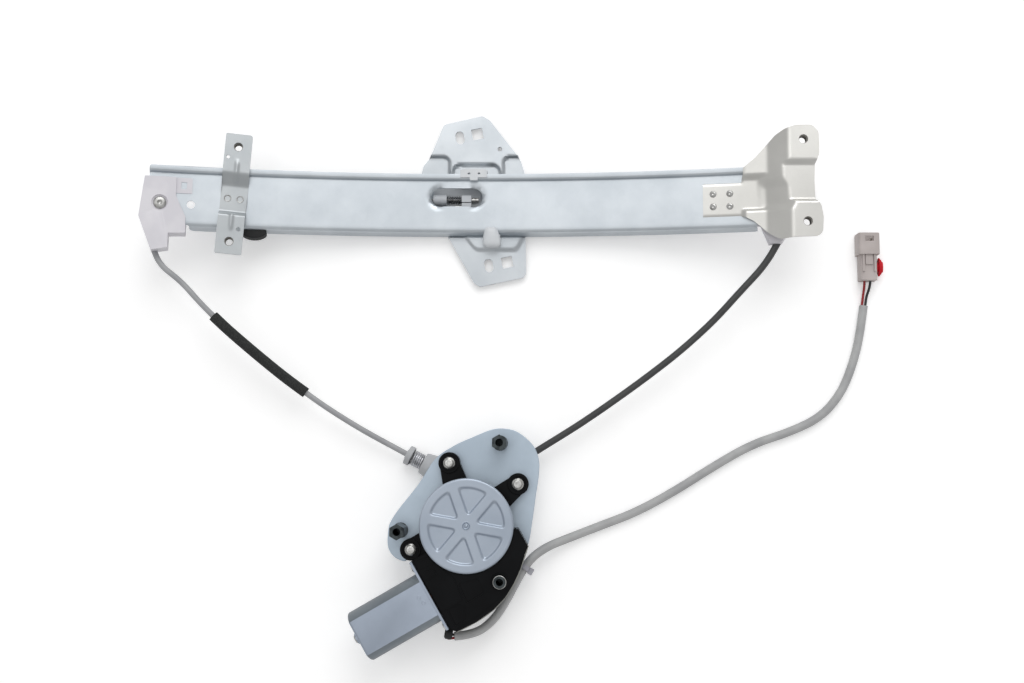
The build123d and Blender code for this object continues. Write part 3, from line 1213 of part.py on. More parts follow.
def make_motor_can():
    half = CAN_FLATS / 2
    can = can_shape(CAN_RADIUS, half, CAN_END, FLANGE_FACE)
    can = fillet(can.faces().sort_by(Axis.X)[0].edges(), 1.6)
    flange_mid = 1.35
    half_width = CAN_SCREW_OFFSET + FLANGE_EDGE
    can += Pos(0, flange_mid, 0) * block(
        (FLANGE_FACE, -half_width, -FLANGE_HEIGHT / 2),
        (FLANGE_FACE + FLANGE_SHEET, half_width, FLANGE_HEIGHT / 2))
    can += bar(CAN_END - NUB_LENGTH, CAN_END + 2, NUB_RADIUS)
    can -= can_shape(CAN_RADIUS - CAN_WALL, half - CAN_WALL, CAN_END + CAN_WALL, FLANGE_FACE + 4)
    can -= bar(CAN_END - NUB_LENGTH + 0.6, CAN_END + 4, REAR_BUSH_RADIUS)
    for side in (-1, 1):
        can -= Pos(0, side * CAN_SCREW_OFFSET, 0) * bar(FLANGE_FACE - 1, FLANGE_FACE + 4, CAN_SCREW_RADIUS)
    return on_motor(can)


def make_can_screws():
    screw = bar(FLANGE_FACE - 2.2, FLANGE_FACE, 2.9) + bar(FLANGE_FACE, -35.6, CAN_SCREW_RADIUS)
    return [on_motor(Pos(0, side * CAN_SCREW_OFFSET, 0) * screw) for side in (-1, 1)]


def make_field_magnets():
    outer = CAN_RADIUS - CAN_WALL - TOUCH_GAP
    ring = bar(MAGNET_START, MAGNET_END, outer) - bar(MAGNET_START - 1, MAGNET_END + 1, outer - MAGNET_THICKNESS)
    reach = outer / sin(radians(MAGNET_ANGLE / 2))
    made = []
    for side in (90, 270):
        a, b = polar(reach, side - MAGNET_ANGLE / 2), polar(reach, side + MAGNET_ANGLE / 2)
        wedge = Polyline((0, 0), (a[1], a[0]), (b[1], b[0]), close=True)
        prism = Pos(MAGNET_START - 1, 0, 0) * Rot(0, 90, 0) * Rot(0, 0, 90) * extrude(make_face(wedge), 60)
        made.append(on_motor(ring & prism))
    return made


def make_armature_shaft():
    return on_motor(bar(SPINDLE_START, SPINDLE_END, SPINDLE_RADIUS))


def slots_around(start, end, low, high, width):
    """Equal slots round the armature, as the solids to cut or fill."""
    slot = block((start, low, -width / 2), (end, high, width / 2))
    made = slot
    for i in range(1, CORE_SLOTS):
        made += slot.rotate(Axis.X, i * 360 / CORE_SLOTS)
    return made


def make_armature_core():
    core = bar(CORE_START, CORE_END, CORE_RADIUS) - bar(CORE_START - 1, CORE_END + 1, SPINDLE_RADIUS)
    cut = slots_around(CORE_START - 1, CORE_END + 1, CORE_SLOT_FLOOR, CORE_RADIUS + 1, CORE_SLOT_WIDTH)
    return on_motor(core - cut)


def make_windings():
    gap = TOUCH_GAP
    ends = bar(CORE_START - COIL_LENGTH, CORE_START - gap, COIL_RADIUS)
    ends += bar(CORE_END + gap, CORE_END + COIL_LENGTH, COIL_RADIUS)
    bars = slots_around(CORE_START - 1, CORE_END + 1, CORE_SLOT_FLOOR + gap, COIL_RADIUS - 0.2,
                        CORE_SLOT_WIDTH - 2 * gap)
    return on_motor(ends + bars - bar(CORE_START - 10, CORE_END + 10, SPINDLE_RADIUS + 0.4))


def make_commutator():
    body = bar(COMMUTATOR_START, COMMUTATOR_END, COMMUTATOR_RADIUS)
    body -= slots_around(COMMUTATOR_START - 1, COMMUTATOR_END - 2, COMMUTATOR_RADIUS - 0.6, 8, 0.5)
    return on_motor(body - bar(COMMUTATOR_START - 1, COMMUTATOR_END + 1, SPINDLE_RADIUS))


def make_brush_holder():
    half_width, half_height = CAVITY_HALF_WIDTH - 0.1, CAVITY_HALF_HEIGHT - 2.7
    holder = block((FLANGE_FACE + FLANGE_SHEET + 0.1, -half_width, -half_height), (-38.4, half_width, half_height))
    holder -= bar(-50, -30, COMMUTATOR_RADIUS + 0.6)
    side = BRUSH_WIDTH / 2 + TOUCH_GAP
    way = block((BRUSH_AXIS - side, -half_width + 1.2, -side), (BRUSH_AXIS + side, half_width - 1.2, side))
    return on_motor(holder - way)


def make_brushes():
    low = COMMUTATOR_RADIUS + 0.1
    half = BRUSH_WIDTH / 2
    brush = block((BRUSH_AXIS - half, low, -half), (BRUSH_AXIS + half, low + BRUSH_LENGTH, half))
    return [on_motor(brush), on_motor(brush.rotate(Axis.X, 180))]


def make_brush_springs():
    start = COMMUTATOR_RADIUS + BRUSH_LENGTH + 0.2 + BRUSH_SPRING_WIRE
    length = CAVITY_HALF_WIDTH - 1.4 - BRUSH_SPRING_WIRE - start
    spring = coil(BRUSH_SPRING_RADIUS, BRUSH_SPRING_WIRE, length, BRUSH_SPRING_TURNS)
    placed = Pos(BRUSH_AXIS, start, 0) * Rot(-90, 0, 0) * spring
    return [on_motor(placed), on_motor(placed.rotate(Axis.X, 180))]


def make_shaft_bushes():
    bore = SPINDLE_RADIUS + SHAFT_FIT
    made = []
    for start in (FRONT_BUSH_START, END_BUSH_START):
        end = start + BUSH_LENGTH
        made.append(on_motor(bar(start, end, BUSH_RADIUS) - bar(start - 1, end + 1, bore)))
    rear = bar(CAN_END - 1.8, CAN_END + 4, REAR_BUSH_RADIUS) - bar(CAN_END - 3, CAN_END + 5, bore)
    return made + [on_motor(rear)]


def make_thrust_pad():
    return on_motor(bar(THRUST_PAD_START, THRUST_PAD_START + THRUST_PAD_LENGTH, THRUST_PAD_RADIUS))


# ---- harness ----

CORD_ROUTE = (
    (-8.4, -75.1, 26.0), (5.0, -74.2, 24.0), (17.0, -66.0, 22.0), (25.8, -53.5, 20.3),
    (33.6, -38.5, 17.4), (42.6, -23.8, 14.5), (55.0, -15.5, 9.6), (70.0, -10.0, 5.0),
    (92.0, -1.5, 3.1), (116.0, 7.5, 3.3), (143.0, 22.0, 3.1), (172.0, 40.5, 3.3),
    (199.0, 56.0, 3.1), (226.0, 64.8, 3.3), (247.5, 75.0, 3.1), (262.0, 91.5, 3.3),
    (270.5, 111.0, 3.1), (276.5, 132.5, 3.3), (279.7, 154.5, 3.1),
)


def cord_start_frame():
    first, second = Vector(*CORD_ROUTE[0]), Vector(*CORD_ROUTE[1])
    return Plane(origin=first, x_dir=(0, 0, 1), z_dir=first - second)


def make_harness_sheath():
    return tube(CORD_ROUTE, bend_radii(CORD_ROUTE), CORD_RADIUS)


def make_lead_boot():
    place = cord_start_frame()
    boot = extrude(place.offset(LEAD_LENGTH + TOUCH_GAP) * Circle(BOOT_RADIUS), BOOT_LENGTH)
    outline = [(-49.0, -24.7), (-43.5, -24.7), (-41.3, -27.6), (-41.3, -28.4), (-49.0, -28.4)]
    return boot + on_motor(slab(outline, -9.0, 5.0))


def make_motor_leads():
    place = cord_start_frame()
    return [extrude(place * (Pos(0, side) * Circle(WIRE_RADIUS)), LEAD_LENGTH) for side in (-1.2, 1.2)]


def make_cable_tie():
    a, b = Vector(*CORD_ROUTE[4]), Vector(*CORD_ROUTE[5])
    place = Plane(origin=(a + b) * 0.5, x_dir=(0, 0, 1), z_dir=b - a).offset(-TIE_BAND / 2)
    band = extrude(place * (Circle(CORD_RADIUS + TIE_THICKNESS) - Circle(CORD_RADIUS)), TIE_BAND)
    reach = CORD_RADIUS + TIE_THICKNESS
    head = extrude(place * (Pos(0, -reach - 1.2) * Rectangle(3.6, 4.0)), TIE_BAND + 1.0)
    return band + head


def make_connector_leads():
    entry_z = CONNECTOR_BASE_Z + CONNECTOR_LOWER_DEPTH / 2
    made = []
    end = Vector(*CORD_ROUTE[-1])
    along = (end - Vector(*CORD_ROUTE[-2])).normalized()
    across = Vector(along.Y, -along.X, 0)
    for side in (-1.2, 1.2):
        start = end + along * TOUCH_GAP + across * side
        points = [tuple(start), tuple(start + along * 8)]
        points += [(CONNECTOR_X + 1.7 * side, CONNECTOR_LOW_Y - 0.25, entry_z)]
        made.append(tube(points, bend_radii(points), WIRE_RADIUS))
    return made


def make_connector_housing():
    low = CONNECTOR_BASE_Z
    half, wide = CONNECTOR_LOWER_WIDTH / 2, CONNECTOR_UPPER_WIDTH / 2
    shell = rounded(block((CONNECTOR_X - half, CONNECTOR_LOW_Y, low),
                          (CONNECTOR_X + half, CONNECTOR_STEP_Y + 1, low + CONNECTOR_LOWER_DEPTH)), 1.2, Axis.Y)
    shell += rounded(block((CONNECTOR_X - wide, CONNECTOR_STEP_Y, low),
                           (CONNECTOR_X + wide, CONNECTOR_TOP_Y, low + CONNECTOR_UPPER_DEPTH)), 1.6, Axis.Y)
    wall = CONNECTOR_WALL
    shell -= block((CONNECTOR_X - wide + wall, CONNECTOR_STEP_Y + 3, low + wall),
                   (CONNECTOR_X + wide - wall, CONNECTOR_TOP_Y + 1, low + CONNECTOR_UPPER_DEPTH - wall))
    shell -= block((CONNECTOR_X - 3, CONNECTOR_TOP_Y - 6, low + CONNECTOR_UPPER_DEPTH - 3),
                   (CONNECTOR_X + 3, CONNECTOR_TOP_Y - 2.5, low + CONNECTOR_UPPER_DEPTH + 1))
    for blade in blades(TOUCH_GAP):
        shell -= blade
    return shell


def blades(extra):
    """The two blade terminals, grown all round by the given amount."""
    middle = CONNECTOR_BASE_Z + CONNECTOR_UPPER_DEPTH / 2
    made = []
    for side in (-1, 1):
        x = CONNECTOR_X + side * 2.9
        low = (x - BLADE_THICKNESS / 2 - extra, CONNECTOR_STEP_Y - 4 - extra, middle - BLADE_WIDTH / 2 - extra)
        high = (x + BLADE_THICKNESS / 2 + extra, CONNECTOR_TOP_Y - 3 + extra, middle + BLADE_WIDTH / 2 + extra)
        made.append(block(low, high))
    return made


def make_connector_terminals():
    return blades(0)


def make_connector_clip():
    face = CONNECTOR_X + CONNECTOR_LOWER_WIDTH / 2 + TOUCH_GAP
    low = CONNECTOR_BASE_Z + 1.6
    clip = block((face, 178.5, low + 1), (face + 2.2, 185.5, low + 6))
    clip += rounded(block((face + 2.0, 175.4, low), (face + 5.2, 188.6, low + 7.4)), 1.2)
    return clip


# ---- export ----

NODES = {
    "guide_rail": make_guide_rail,
    "end_bracket": make_end_bracket,
    "end_bracket_rivets": make_end_bracket_rivets,
    "cross_bracket": make_cross_bracket,
    "cross_bracket_rivets": make_cross_bracket_rivets,
    "weld_nuts": make_weld_nuts,
    "left_cable_guide": make_left_cable_guide,
    "right_cable_guide": make_right_cable_guide,
    "guide_rivet": make_guide_rivets,
    "bump_stop": make_bump_stop,
    "glass_carrier": make_glass_carrier,
    "top_shoe": make_top_shoe,
    "bottom_shoe": make_bottom_shoe,
    "cable_anchor": make_cable_anchor,
    "anchor_spring": make_anchor_spring,
    "cable_ferrules": make_cable_ferrules,
    "left_cable_run": make_left_cable_run,
    "right_cable_run": make_right_cable_run,
    "left_conduit": make_left_conduit,
    "right_conduit": make_right_conduit,
    "foam_sleeve": make_foam_sleeve,
    "left_inner_cable": make_left_inner_cable,
    "right_inner_cable": make_right_inner_cable,
    "drum_housing": make_drum_housing,
    "cable_drum": make_cable_drum,
    "cable_wraps": make_cable_wraps,
    "output_shaft": make_output_shaft,
    "tension_seat": make_tension_seat,
    "tension_spring": make_tension_spring,
    "tension_cap": make_tension_cap,
    "motor_plate": make_motor_plate,
    "standoffs": make_standoffs,
    "motor_screws": make_motor_screws,
    "gear_housing": make_gear_housing,
    "gear_cover": make_gear_cover,
    "gear_cover_seal": make_gear_cover_seal,
    "worm_wheel": make_worm_wheel,
    "wheel_damper": make_wheel_damper,
    "worm": make_worm,
    "motor_can": make_motor_can,
    "can_screws": make_can_screws,
    "field_magnets": make_field_magnets,
    "armature_shaft": make_armature_shaft,
    "armature_core": make_armature_core,
    "windings": make_windings,
    "commutator": make_commutator,
    "brush_holder": make_brush_holder,
    "brushes": make_brushes,
    "brush_springs": make_brush_springs,
    "shaft_bushes": make_shaft_bushes,
    "thrust_pad": make_thrust_pad,
    "lead_boot": make_lead_boot,
    "motor_leads": make_motor_leads,
    "harness_sheath": make_harness_sheath,
    "cable_tie": make_cable_tie,
    "connector_leads": make_connector_leads,
    "connector_housing": make_connector_housing,
    "connector_terminals": make_connector_terminals,
    "connector_clip": make_connector_clip,
}

os.makedirs("parts", exist_ok=True)
for name, make in NODES.items():
    shape = make()
    shape = Compound(children=shape) if isinstance(shape, list) else shape
    export_step(shape, f"parts/{name}.step")
    print(name, round(shape.volume, 1))

for name, route in (("harness_sheath", CORD_ROUTE), ("left_conduit", left_route()), ("right_conduit", right_route())):
    radii = bend_radii(route)
    print(name, "radii", [round(r, 1) for r in radii])
cord = FilletPolyline(*CORD_ROUTE, radius=bend_radii(CORD_ROUTE))
expected = cord.length * pi * CORD_RADIUS ** 2
print("cord length", round(cord.length, 1), "volume", round(make_harness_sheath().volume), "expected", round(expected))
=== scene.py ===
import bpy
import bmesh
from math import asin, cos, hypot, pi, radians, sin, tan
from mathutils import Matrix, Vector
from mathutils.geometry import delaunay_2d_cdt


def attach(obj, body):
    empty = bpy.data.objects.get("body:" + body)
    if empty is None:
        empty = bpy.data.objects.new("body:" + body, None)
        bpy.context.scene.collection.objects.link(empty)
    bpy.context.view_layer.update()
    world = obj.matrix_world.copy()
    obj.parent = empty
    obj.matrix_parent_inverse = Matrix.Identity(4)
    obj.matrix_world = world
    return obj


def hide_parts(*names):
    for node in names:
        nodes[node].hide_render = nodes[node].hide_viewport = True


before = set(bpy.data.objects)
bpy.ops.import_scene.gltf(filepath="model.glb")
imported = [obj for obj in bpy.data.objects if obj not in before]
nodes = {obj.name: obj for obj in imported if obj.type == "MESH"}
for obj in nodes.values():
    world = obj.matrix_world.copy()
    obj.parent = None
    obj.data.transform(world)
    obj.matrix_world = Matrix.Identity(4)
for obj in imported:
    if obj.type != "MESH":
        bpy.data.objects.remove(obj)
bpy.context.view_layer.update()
MM = 0.001


# ---- camera ----
# It looks almost straight down from 0.85 m, as from a stand over the bench. It is a little nearer the motor
# than the regulator's middle.

def added(name, data):
    """A new object in the scene."""
    thing = bpy.data.objects.new(name, data)
    bpy.context.scene.collection.objects.link(thing)
    return thing


def set_up(thing, **settings):
    for name, value in settings.items():
        setattr(thing, name, value)
    return thing


eye = set_up(bpy.data.cameras.new("camera"), lens=41.885, sensor_width=36.0, clip_start=0.01)
camera = added("camera", eye)
across = Vector((0.999789, 0.004499, -0.020041))
up = Vector((-0.002494, 0.995089, 0.098955))
camera.matrix_world = Matrix.LocRotScale(
    Vector((46.734, 44.238, 850.0)) * MM,
    Matrix((across, up, across.cross(up))).transposed().to_quaternion(), None)
bpy.context.scene.camera = camera


# ---- harness ----
# The harness is two wires in a grey vinyl sheath, extruded in one length. It leaves the motor's lead boot,
# goes round the gear housing and lies loose on the bench as far as its connector.

class Shade:
    """One socket in a finish, so that sums on it read as plain expressions."""

    def __init__(self, finish, socket):
        self.finish, self.socket = finish, socket

    def sum(self, operation, a, b):
        return self.finish.node("ShaderNodeMath", {"operation": operation}, {0: a, 1: b})

    def __add__(self, other):
        return self.sum("ADD", self, other)

    def __sub__(self, other):
        return self.sum("SUBTRACT", self, other)

    def __rsub__(self, other):
        return self.sum("SUBTRACT", other, self)

    def __mul__(self, other):
        return self.sum("MULTIPLY", self, other)

    __radd__, __rmul__ = __add__, __mul__

    def above(self, low, high):
        """0 below low, 1 above high, and a smooth step between."""
        return self.finish.node("ShaderNodeMapRange", {"interpolation_type": "SMOOTHSTEP"},
                                {"Value": self, "From Min": low, "From Max": high})


class Finish:
    """A material under construction: its nodes, and the shader they feed."""

    def __init__(self, name, **fixed):
        self.material = bpy.data.materials.new(name)
        self.material.use_nodes = True
        self.tree = self.material.node_tree
        self.shader = self.tree.nodes["Principled BSDF"]
        for socket, value in fixed.items():
            self.shader.inputs[socket.replace("_", " ").title()].default_value = value

    def node(self, kind, settings, sockets, out=0):
        made = set_up(self.tree.nodes.new(kind), **settings)
        for key, value in sockets.items():
            if isinstance(key, int):
                socket = made.inputs[key]
            else:
                socket = next(s for s in made.inputs if s.name == key and s.enabled)
            self.feed(socket, value)
        outputs = [s for s in made.outputs if s.enabled]
        return Shade(self, outputs[out])

    def feed(self, socket, value):
        if isinstance(value, Shade):
            self.tree.links.new(value.socket, socket)
        else:
            socket.default_value = value

    def place(self, scale=1.0, stretch=(1, 1, 1)):
        """The surface's own coordinates, in units of 1/scale metres."""
        where = self.node("ShaderNodeTexCoord", {}, {}, out=3)
        return self.node("ShaderNodeMapping", {}, {"Vector": where, "Scale": [scale * s for s in stretch]})

    def cloud(self, scale, detail=3.0, stretch=(1, 1, 1)):
        return self.node("ShaderNodeTexNoise", {},
                         {"Vector": self.place(scale, stretch), "Scale": 1.0, "Detail": detail})

    def mix(self, share, a, b):
        return self.node("ShaderNodeMix", {"data_type": "RGBA"}, {"Factor": share, "A": a, "B": b})

    def two_tone(self, share, colour, other):
        """From one screen colour to the other by the share."""
        self.feed(self.shader.inputs["Base Color"], self.mix(share, rgb(*colour), rgb(*other)))

    def roughness(self, value):
        self.feed(self.shader.inputs["Roughness"], value)

    def relief(self, height, depth):
        """Bumps of the given depth in metres."""
        bump = self.node("ShaderNodeBump", {}, {"Height": height, "Distance": depth, "Strength": 1.0})
        self.feed(self.shader.inputs["Normal"], bump)


def rgb(red, green, blue):
    """A colour as a screen shows it, 0 to 255, turned into light."""
    linear = [c / 12.92 if c <= 0.04045 else ((c + 0.055) / 1.055) ** 2.4
              for c in (red / 255, green / 255, blue / 255)]
    return (*linear, 1.0)


def moulded(name, colour, other, roughness=0.5, grain=0.00002, gloss=0.5):
    """Moulded or extruded plastic: faint flow marks, a fine matt grain and small scuffs."""
    finish = Finish(name, roughness=roughness)
    finish.shader.inputs["Specular IOR Level"].default_value = gloss
    flow = finish.cloud(60, 2.0)
    fine = finish.cloud(2500, 2.0)
    finish.two_tone(flow.above(0.35, 0.65), colour, other)
    finish.roughness(roughness + 0.12 * (flow - 0.5) + 0.1 * (fine - 0.5))
    finish.relief(fine, grain)
    return finish.material


def dress(name, material):
    """Gives a node from the frame its finish."""
    finishes = nodes[name].data.materials
    finishes.clear()
    finishes.append(material)


def new_piece(name, data, material, body="frame"):
    piece = added(name, data)
    data.materials.append(material)
    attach(piece, body)
    return piece


def cord_curve(name, points, radius):
    """A smooth cord through millimetre points."""
    curve = set_up(bpy.data.curves.new(name, "CURVE"), dimensions="3D", bevel_depth=radius * MM,
                   bevel_resolution=6, resolution_u=10, use_fill_caps=True)
    spline = curve.splines.new("NURBS")
    spline.points.add(len(points) - 1)
    for point, place in zip(spline.points, points):
        point.co = (*(c * MM for c in place), 1.0)
    set_up(spline, order_u=3, use_endpoint_u=True)
    return curve


sheath_route = (
    (-8.4, -75.1, 26.0), (5.0, -74.2, 24.0), (17.0, -66.0, 22.0), (25.8, -53.5, 20.3), (33.6, -38.5, 17.4),
    (42.6, -23.8, 14.5), (55.0, -15.5, 9.6), (70.0, -10.0, 5.0), (92.0, -1.5, 3.1), (116.0, 7.5, 3.3),
    (143.0, 22.0, 3.1), (172.0, 40.5, 3.3), (199.0, 56.0, 3.1), (226.0, 64.8, 3.3), (247.5, 75.0, 3.1),
    (262.0, 91.5, 3.3), (270.5, 111.0, 3.1), (276.5, 132.5, 3.3), (279.7, 154.5, 3.1))
sheath = new_piece("sheath", cord_curve("sheath", sheath_route, 3.0),
                   moulded("sheath_vinyl", (178, 179, 179), (165, 166, 167), 0.55))
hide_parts("harness_sheath")


# ---- connector on the harness ----
# The plug socket is moulded in warm grey nylon, with a wide square mouth for the plug and a narrower back.
# Two tinned blades stand in the mouth, and the two wires enter at the back. A red clip holds it to the door.

def softened(outline, radius, steps=5):
    """A closed outline with its corners turned into arcs; radius is one number or one for each corner."""
    radii = radius if isinstance(radius, (list, tuple)) else [radius] * len(outline)
    made = []
    for i, corner in enumerate(outline):
        here = Vector(corner)
        back, on = Vector(outline[i - 1]) - here, Vector(outline[(i + 1) % len(outline)]) - here
        half = back.angle(on) / 2
        if radii[i] <= 0 or half > radians(88):
            made.append(tuple(here))
            continue
        cut = min(radii[i] / tan(half), 0.45 * back.length, 0.45 * on.length)
        reach = cut * tan(half)
        centre = here + (back.normalized() + on.normalized()).normalized() * (reach / sin(half))
        start, end = here + back.normalized() * cut - centre, here + on.normalized() * cut - centre
        turn = start.angle_signed(end)
        for k in range(steps + 1):
            arm = start.copy()
            arm.rotate(Matrix.Rotation(-turn * k / steps, 2))
            made.append(tuple(centre + arm))
    return made


def add_prism(bm, outline, low, high, place=Matrix.Identity(4)):
    """A solid block of an outline, from low to high, in millimetres."""
    below = [bm.verts.new(place @ Vector((x, y, low)) * MM) for x, y in outline]
    above = [bm.verts.new(place @ Vector((x, y, high)) * MM) for x, y in outline]
    bm.faces.new(above)
    bm.faces.new(below[::-1])
    for i, vertex in enumerate(below):
        j = (i + 1) % len(below)
        bm.faces.new((vertex, below[j], above[j], above[i]))


def rectangle(left, low, right, top):
    return [(left, low), (right, low), (right, top), (left, top)]


def mesh_of(name, bm, sharp=35.0):
    """A mesh with its faces turned outward, smooth but for the edges over sharp degrees."""
    bmesh.ops.recalc_face_normals(bm, faces=bm.faces)
    for face in bm.faces:
        face.smooth = True
    mesh = bpy.data.meshes.new(name)
    bm.to_mesh(mesh)
    bm.free()
    mesh.set_sharp_from_angle(angle=radians(sharp))
    return mesh


def finished(name, bm, material, edge=0.0, sharp=35.0, stands_for=(), body="frame"):
    """Turns a mesh into a piece, with its sharp edges eased by edge millimetres."""
    piece = new_piece(name, mesh_of(name, bm, sharp), material, body)
    if edge:
        set_up(piece.modifiers.new("eased_edges", "BEVEL"), width=edge * MM, segments=2, limit_method="ANGLE",
               angle_limit=radians(sharp), harden_normals=True)
    if stands_for:
        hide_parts(*stands_for)
    return piece


def hollowed(piece, cutters):
    """Takes other meshes out of a piece, before its edges are eased."""
    for number, cutter in enumerate(cutters):
        mesh = mesh_of(piece.name + "_cut", cutter)
        tool = added(piece.name + "_cut", mesh)
        cut = set_up(piece.modifiers.new("cut_%d" % number, "BOOLEAN"), operation="DIFFERENCE",
                     solver="EXACT", object=tool)
        with bpy.context.temp_override(object=piece, active_object=piece, selected_objects=[piece]):
            piece.modifiers.move(len(piece.modifiers) - 1, 0)
            bpy.ops.object.modifier_apply(modifier=cut.name)
        bpy.data.objects.remove(tool)
        bpy.data.meshes.remove(mesh)
    piece.data.set_sharp_from_angle(angle=radians(35))
    return piece


socket_x, socket_low = 282.2, 0.2
upright = Matrix.Translation((socket_x, 0, socket_low)) @ Matrix.Rotation(radians(90), 4, "X")
shell, mouth, window = bmesh.new(), bmesh.new(), bmesh.new()
for form, (left, low, right, top), corner, near, far in (
        (shell, (-5.8, 0, 5.8, 11.0), 1.4, -190.4, -172.0),
        (shell, (-7.4, 0, 7.4, 13.6), 1.8, -205.6, -190.2),
        (shell, (-4.7, 10.6, -3.3, 12.4), 0.3, -190.6, -178.0),
        (shell, (3.3, 10.6, 4.7, 12.4), 0.3, -190.6, -178.0),
        (shell, (-2.6, 10.6, 2.6, 12.0), 0.4, -190.6, -183.0),
        (shell, (-5.3, 2.2, 5.3, 3.0), 0, -174.0, -171.9),
        (mouth, (-6.0, 1.4, 6.0, 12.2), 0.8, -207.0, -193.2),
        (window, (-3.0, 10.6, 3.0, 15.0), 0.4, -203.1, -199.6)):
    add_prism(form, softened(rectangle(left, low, right, top), corner), near, far, upright)
connector = hollowed(
    finished("connector", shell, moulded("connector_nylon", (193, 184, 181), (183, 174, 171)),
             0.25, stands_for=["connector_housing"]), [mouth, window])


def turned_metal(name, colour, other, roughness=0.3):
    """Bright plated or turned steel, with fine tool lines and a little tarnish."""
    finish = Finish(name, metallic=1.0, roughness=roughness)
    tarnish = finish.cloud(300, 3.0)
    lines = finish.cloud(1800, 2.0, stretch=(1, 1, 6))
    finish.two_tone(tarnish.above(0.4, 0.75), colour, other)
    finish.roughness(roughness + 0.2 * (lines - 0.5))
    finish.relief(lines, 0.00001)
    return finish.material


dress("connector_terminals", turned_metal("tinned_brass", (205, 202, 195), (180, 176, 168), 0.28))
sideways = (Matrix.Translation((socket_x + 5.8, 182.0, socket_low + 5.3))
            @ Matrix.Rotation(radians(90), 4, "Y"))
clip = bmesh.new()
for share, low, high in ((0.5, 0.0, 2.2), (1.0, 2.0, 3.1), (0.82, 3.0, 4.1), (0.6, 4.0, 5.15)):
    oval = [(share * 3.7 * cos(radians(a)), share * 6.6 * sin(radians(a))) for a in range(0, 360, 12)]
    add_prism(clip, oval, low, high, sideways)
clip = finished("clip", clip, moulded("clip_nylon", (210, 30, 44), (196, 24, 38), 0.5, gloss=0.2),
                0.2, stands_for=["connector_clip"])


# ---- wires at both ends of the harness ----
# Stranded copper in thin vinyl, one red and one black. At the motor they go into a rubber boot, and at the
# other end they fan out from the sheath into the connector.

def wire(name, points, colour, other):
    return new_piece(name, cord_curve(name, points, 0.9), moulded(name + "_vinyl", colour, other, 0.35))


def sheath_end(tip, inner):
    """The sheath's tip, the way out of it and the way across it."""
    out = (Vector(tip) - Vector(inner)).normalized()
    return Vector(tip), out, Vector((out.y, -out.x, 0)).normalized()


cores = (("red", -1.2, (150, 28, 34), (135, 24, 30)), ("black", 1.2, (38, 38, 40), (33, 33, 35)))
tip, out, across = sheath_end(sheath_route[0], sheath_route[1])
leads = [wire(name + "_lead", [tip + across * side * k + out * d
                               for k, d in ((0.8, -2.5), (1.0, 1.2), (1.0, 4.5))],
              colour, other) for name, side, colour, other in cores]
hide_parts("motor_leads")
tip, out, across = sheath_end(sheath_route[-1], sheath_route[-2])
for name, side, colour, other in cores:
    fan = [tip + across * side + out * d for d in (-2.0, 2.5, 7.0)]
    fan += [(socket_x + 1.7 * side, 168.5, 5.2), (socket_x + 1.7 * side, 173.0, 5.7)]
    wire(name + "_tail", fan, colour, other)
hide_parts("connector_leads")


def disc(x, y, radius, steps=24):
    return [(x + radius * cos(2 * pi * k / steps), y + radius * sin(2 * pi * k / steps))
            for k in range(steps)]


def add_turned(bm, profile, place, steps=40):
    """A turned part: (radius, height) pairs swung round the z axis, closed where a radius is 0."""
    rings = []
    for radius, height in profile:
        ring = disc(0, 0, radius, steps) if radius else [(0, 0)]
        rings.append([bm.verts.new(place @ Vector((x, y, height)) * MM) for x, y in ring])
    for below, above in zip(rings, rings[1:]):
        for k in range(steps):
            j = (k + 1) % steps
            corners = [below[k % len(below)], below[j % len(below)], above[j % len(above)],
                       above[k % len(above)]]
            bm.faces.new([v for i, v in enumerate(corners) if v not in corners[:i]])


def facing(spot, axis):
    """A frame at a place, with z pointing along an axis."""
    return Matrix.Translation(spot) @ Vector(axis).to_track_quat("Z", "Y").to_matrix().to_4x4()


boot = bmesh.new()
add_turned(boot, [(0, 0), (2.6, 0), (3.5, 0.8), (3.7, 2.2), (3.7, 4.0), (3.4, 5.0), (2.8, 5.4), (0, 5.4)],
           facing((-15.0, -73.1, 26.2), (1.0, -0.17, 0.0)))
finished("boot", boot, moulded("boot_rubber", (34, 35, 37), (26, 27, 29), 0.6), sharp=50,
         stands_for=["lead_boot"])


# ---- cable tie ----
# A moulded strap of pale nylon, pulled round the sheath beside the gear housing. Its lock stands out on the
# free side, with the ribbed tail under it.

tail_half = 1.2
tie_place = Matrix.Translation((39.0, -29.7, 15.7)) @ Matrix((
    (0.853, -0.522, 0.0), (-0.087, -0.141, -0.986), (0.515, 0.841, -0.166))).transposed().to_4x4()
tie = bmesh.new()
add_turned(tie, [(3.05, -1.6), (3.95, -1.6), (3.95, 1.6), (3.05, 1.6), (3.05, -1.6)], tie_place)
add_prism(tie, softened(rectangle(3.5, -2.2, 6.7, 2.2), 0.5), -2.2, 2.2, tie_place)
add_prism(tie, rectangle(3.9, 2.3, 4.8, 6.0), -tail_half, tail_half, tie_place)
for rib in range(4):
    add_prism(tie, rectangle(4.7, 2.6 + 0.8 * rib, 5.0, 3.0 + 0.8 * rib), -tail_half, tail_half, tie_place)
finished("tie", tie, moulded("tie_nylon", (178, 178, 186), (166, 166, 174), 0.45), 0.15,
         stands_for=["cable_tie"])


# ---- conduits and their cables ----
# Each cable runs in a wound-wire conduit with an extruded plastic skin: grey on the left, black on the
# right. A sleeve of black foam on the left one keeps it quiet against the door.

dress("left_conduit", moulded("grey_conduit_skin", (167, 168, 170), (156, 157, 160), 0.42))
dress("right_conduit", moulded("black_conduit_skin", (66, 67, 67), (58, 59, 60), 0.38))


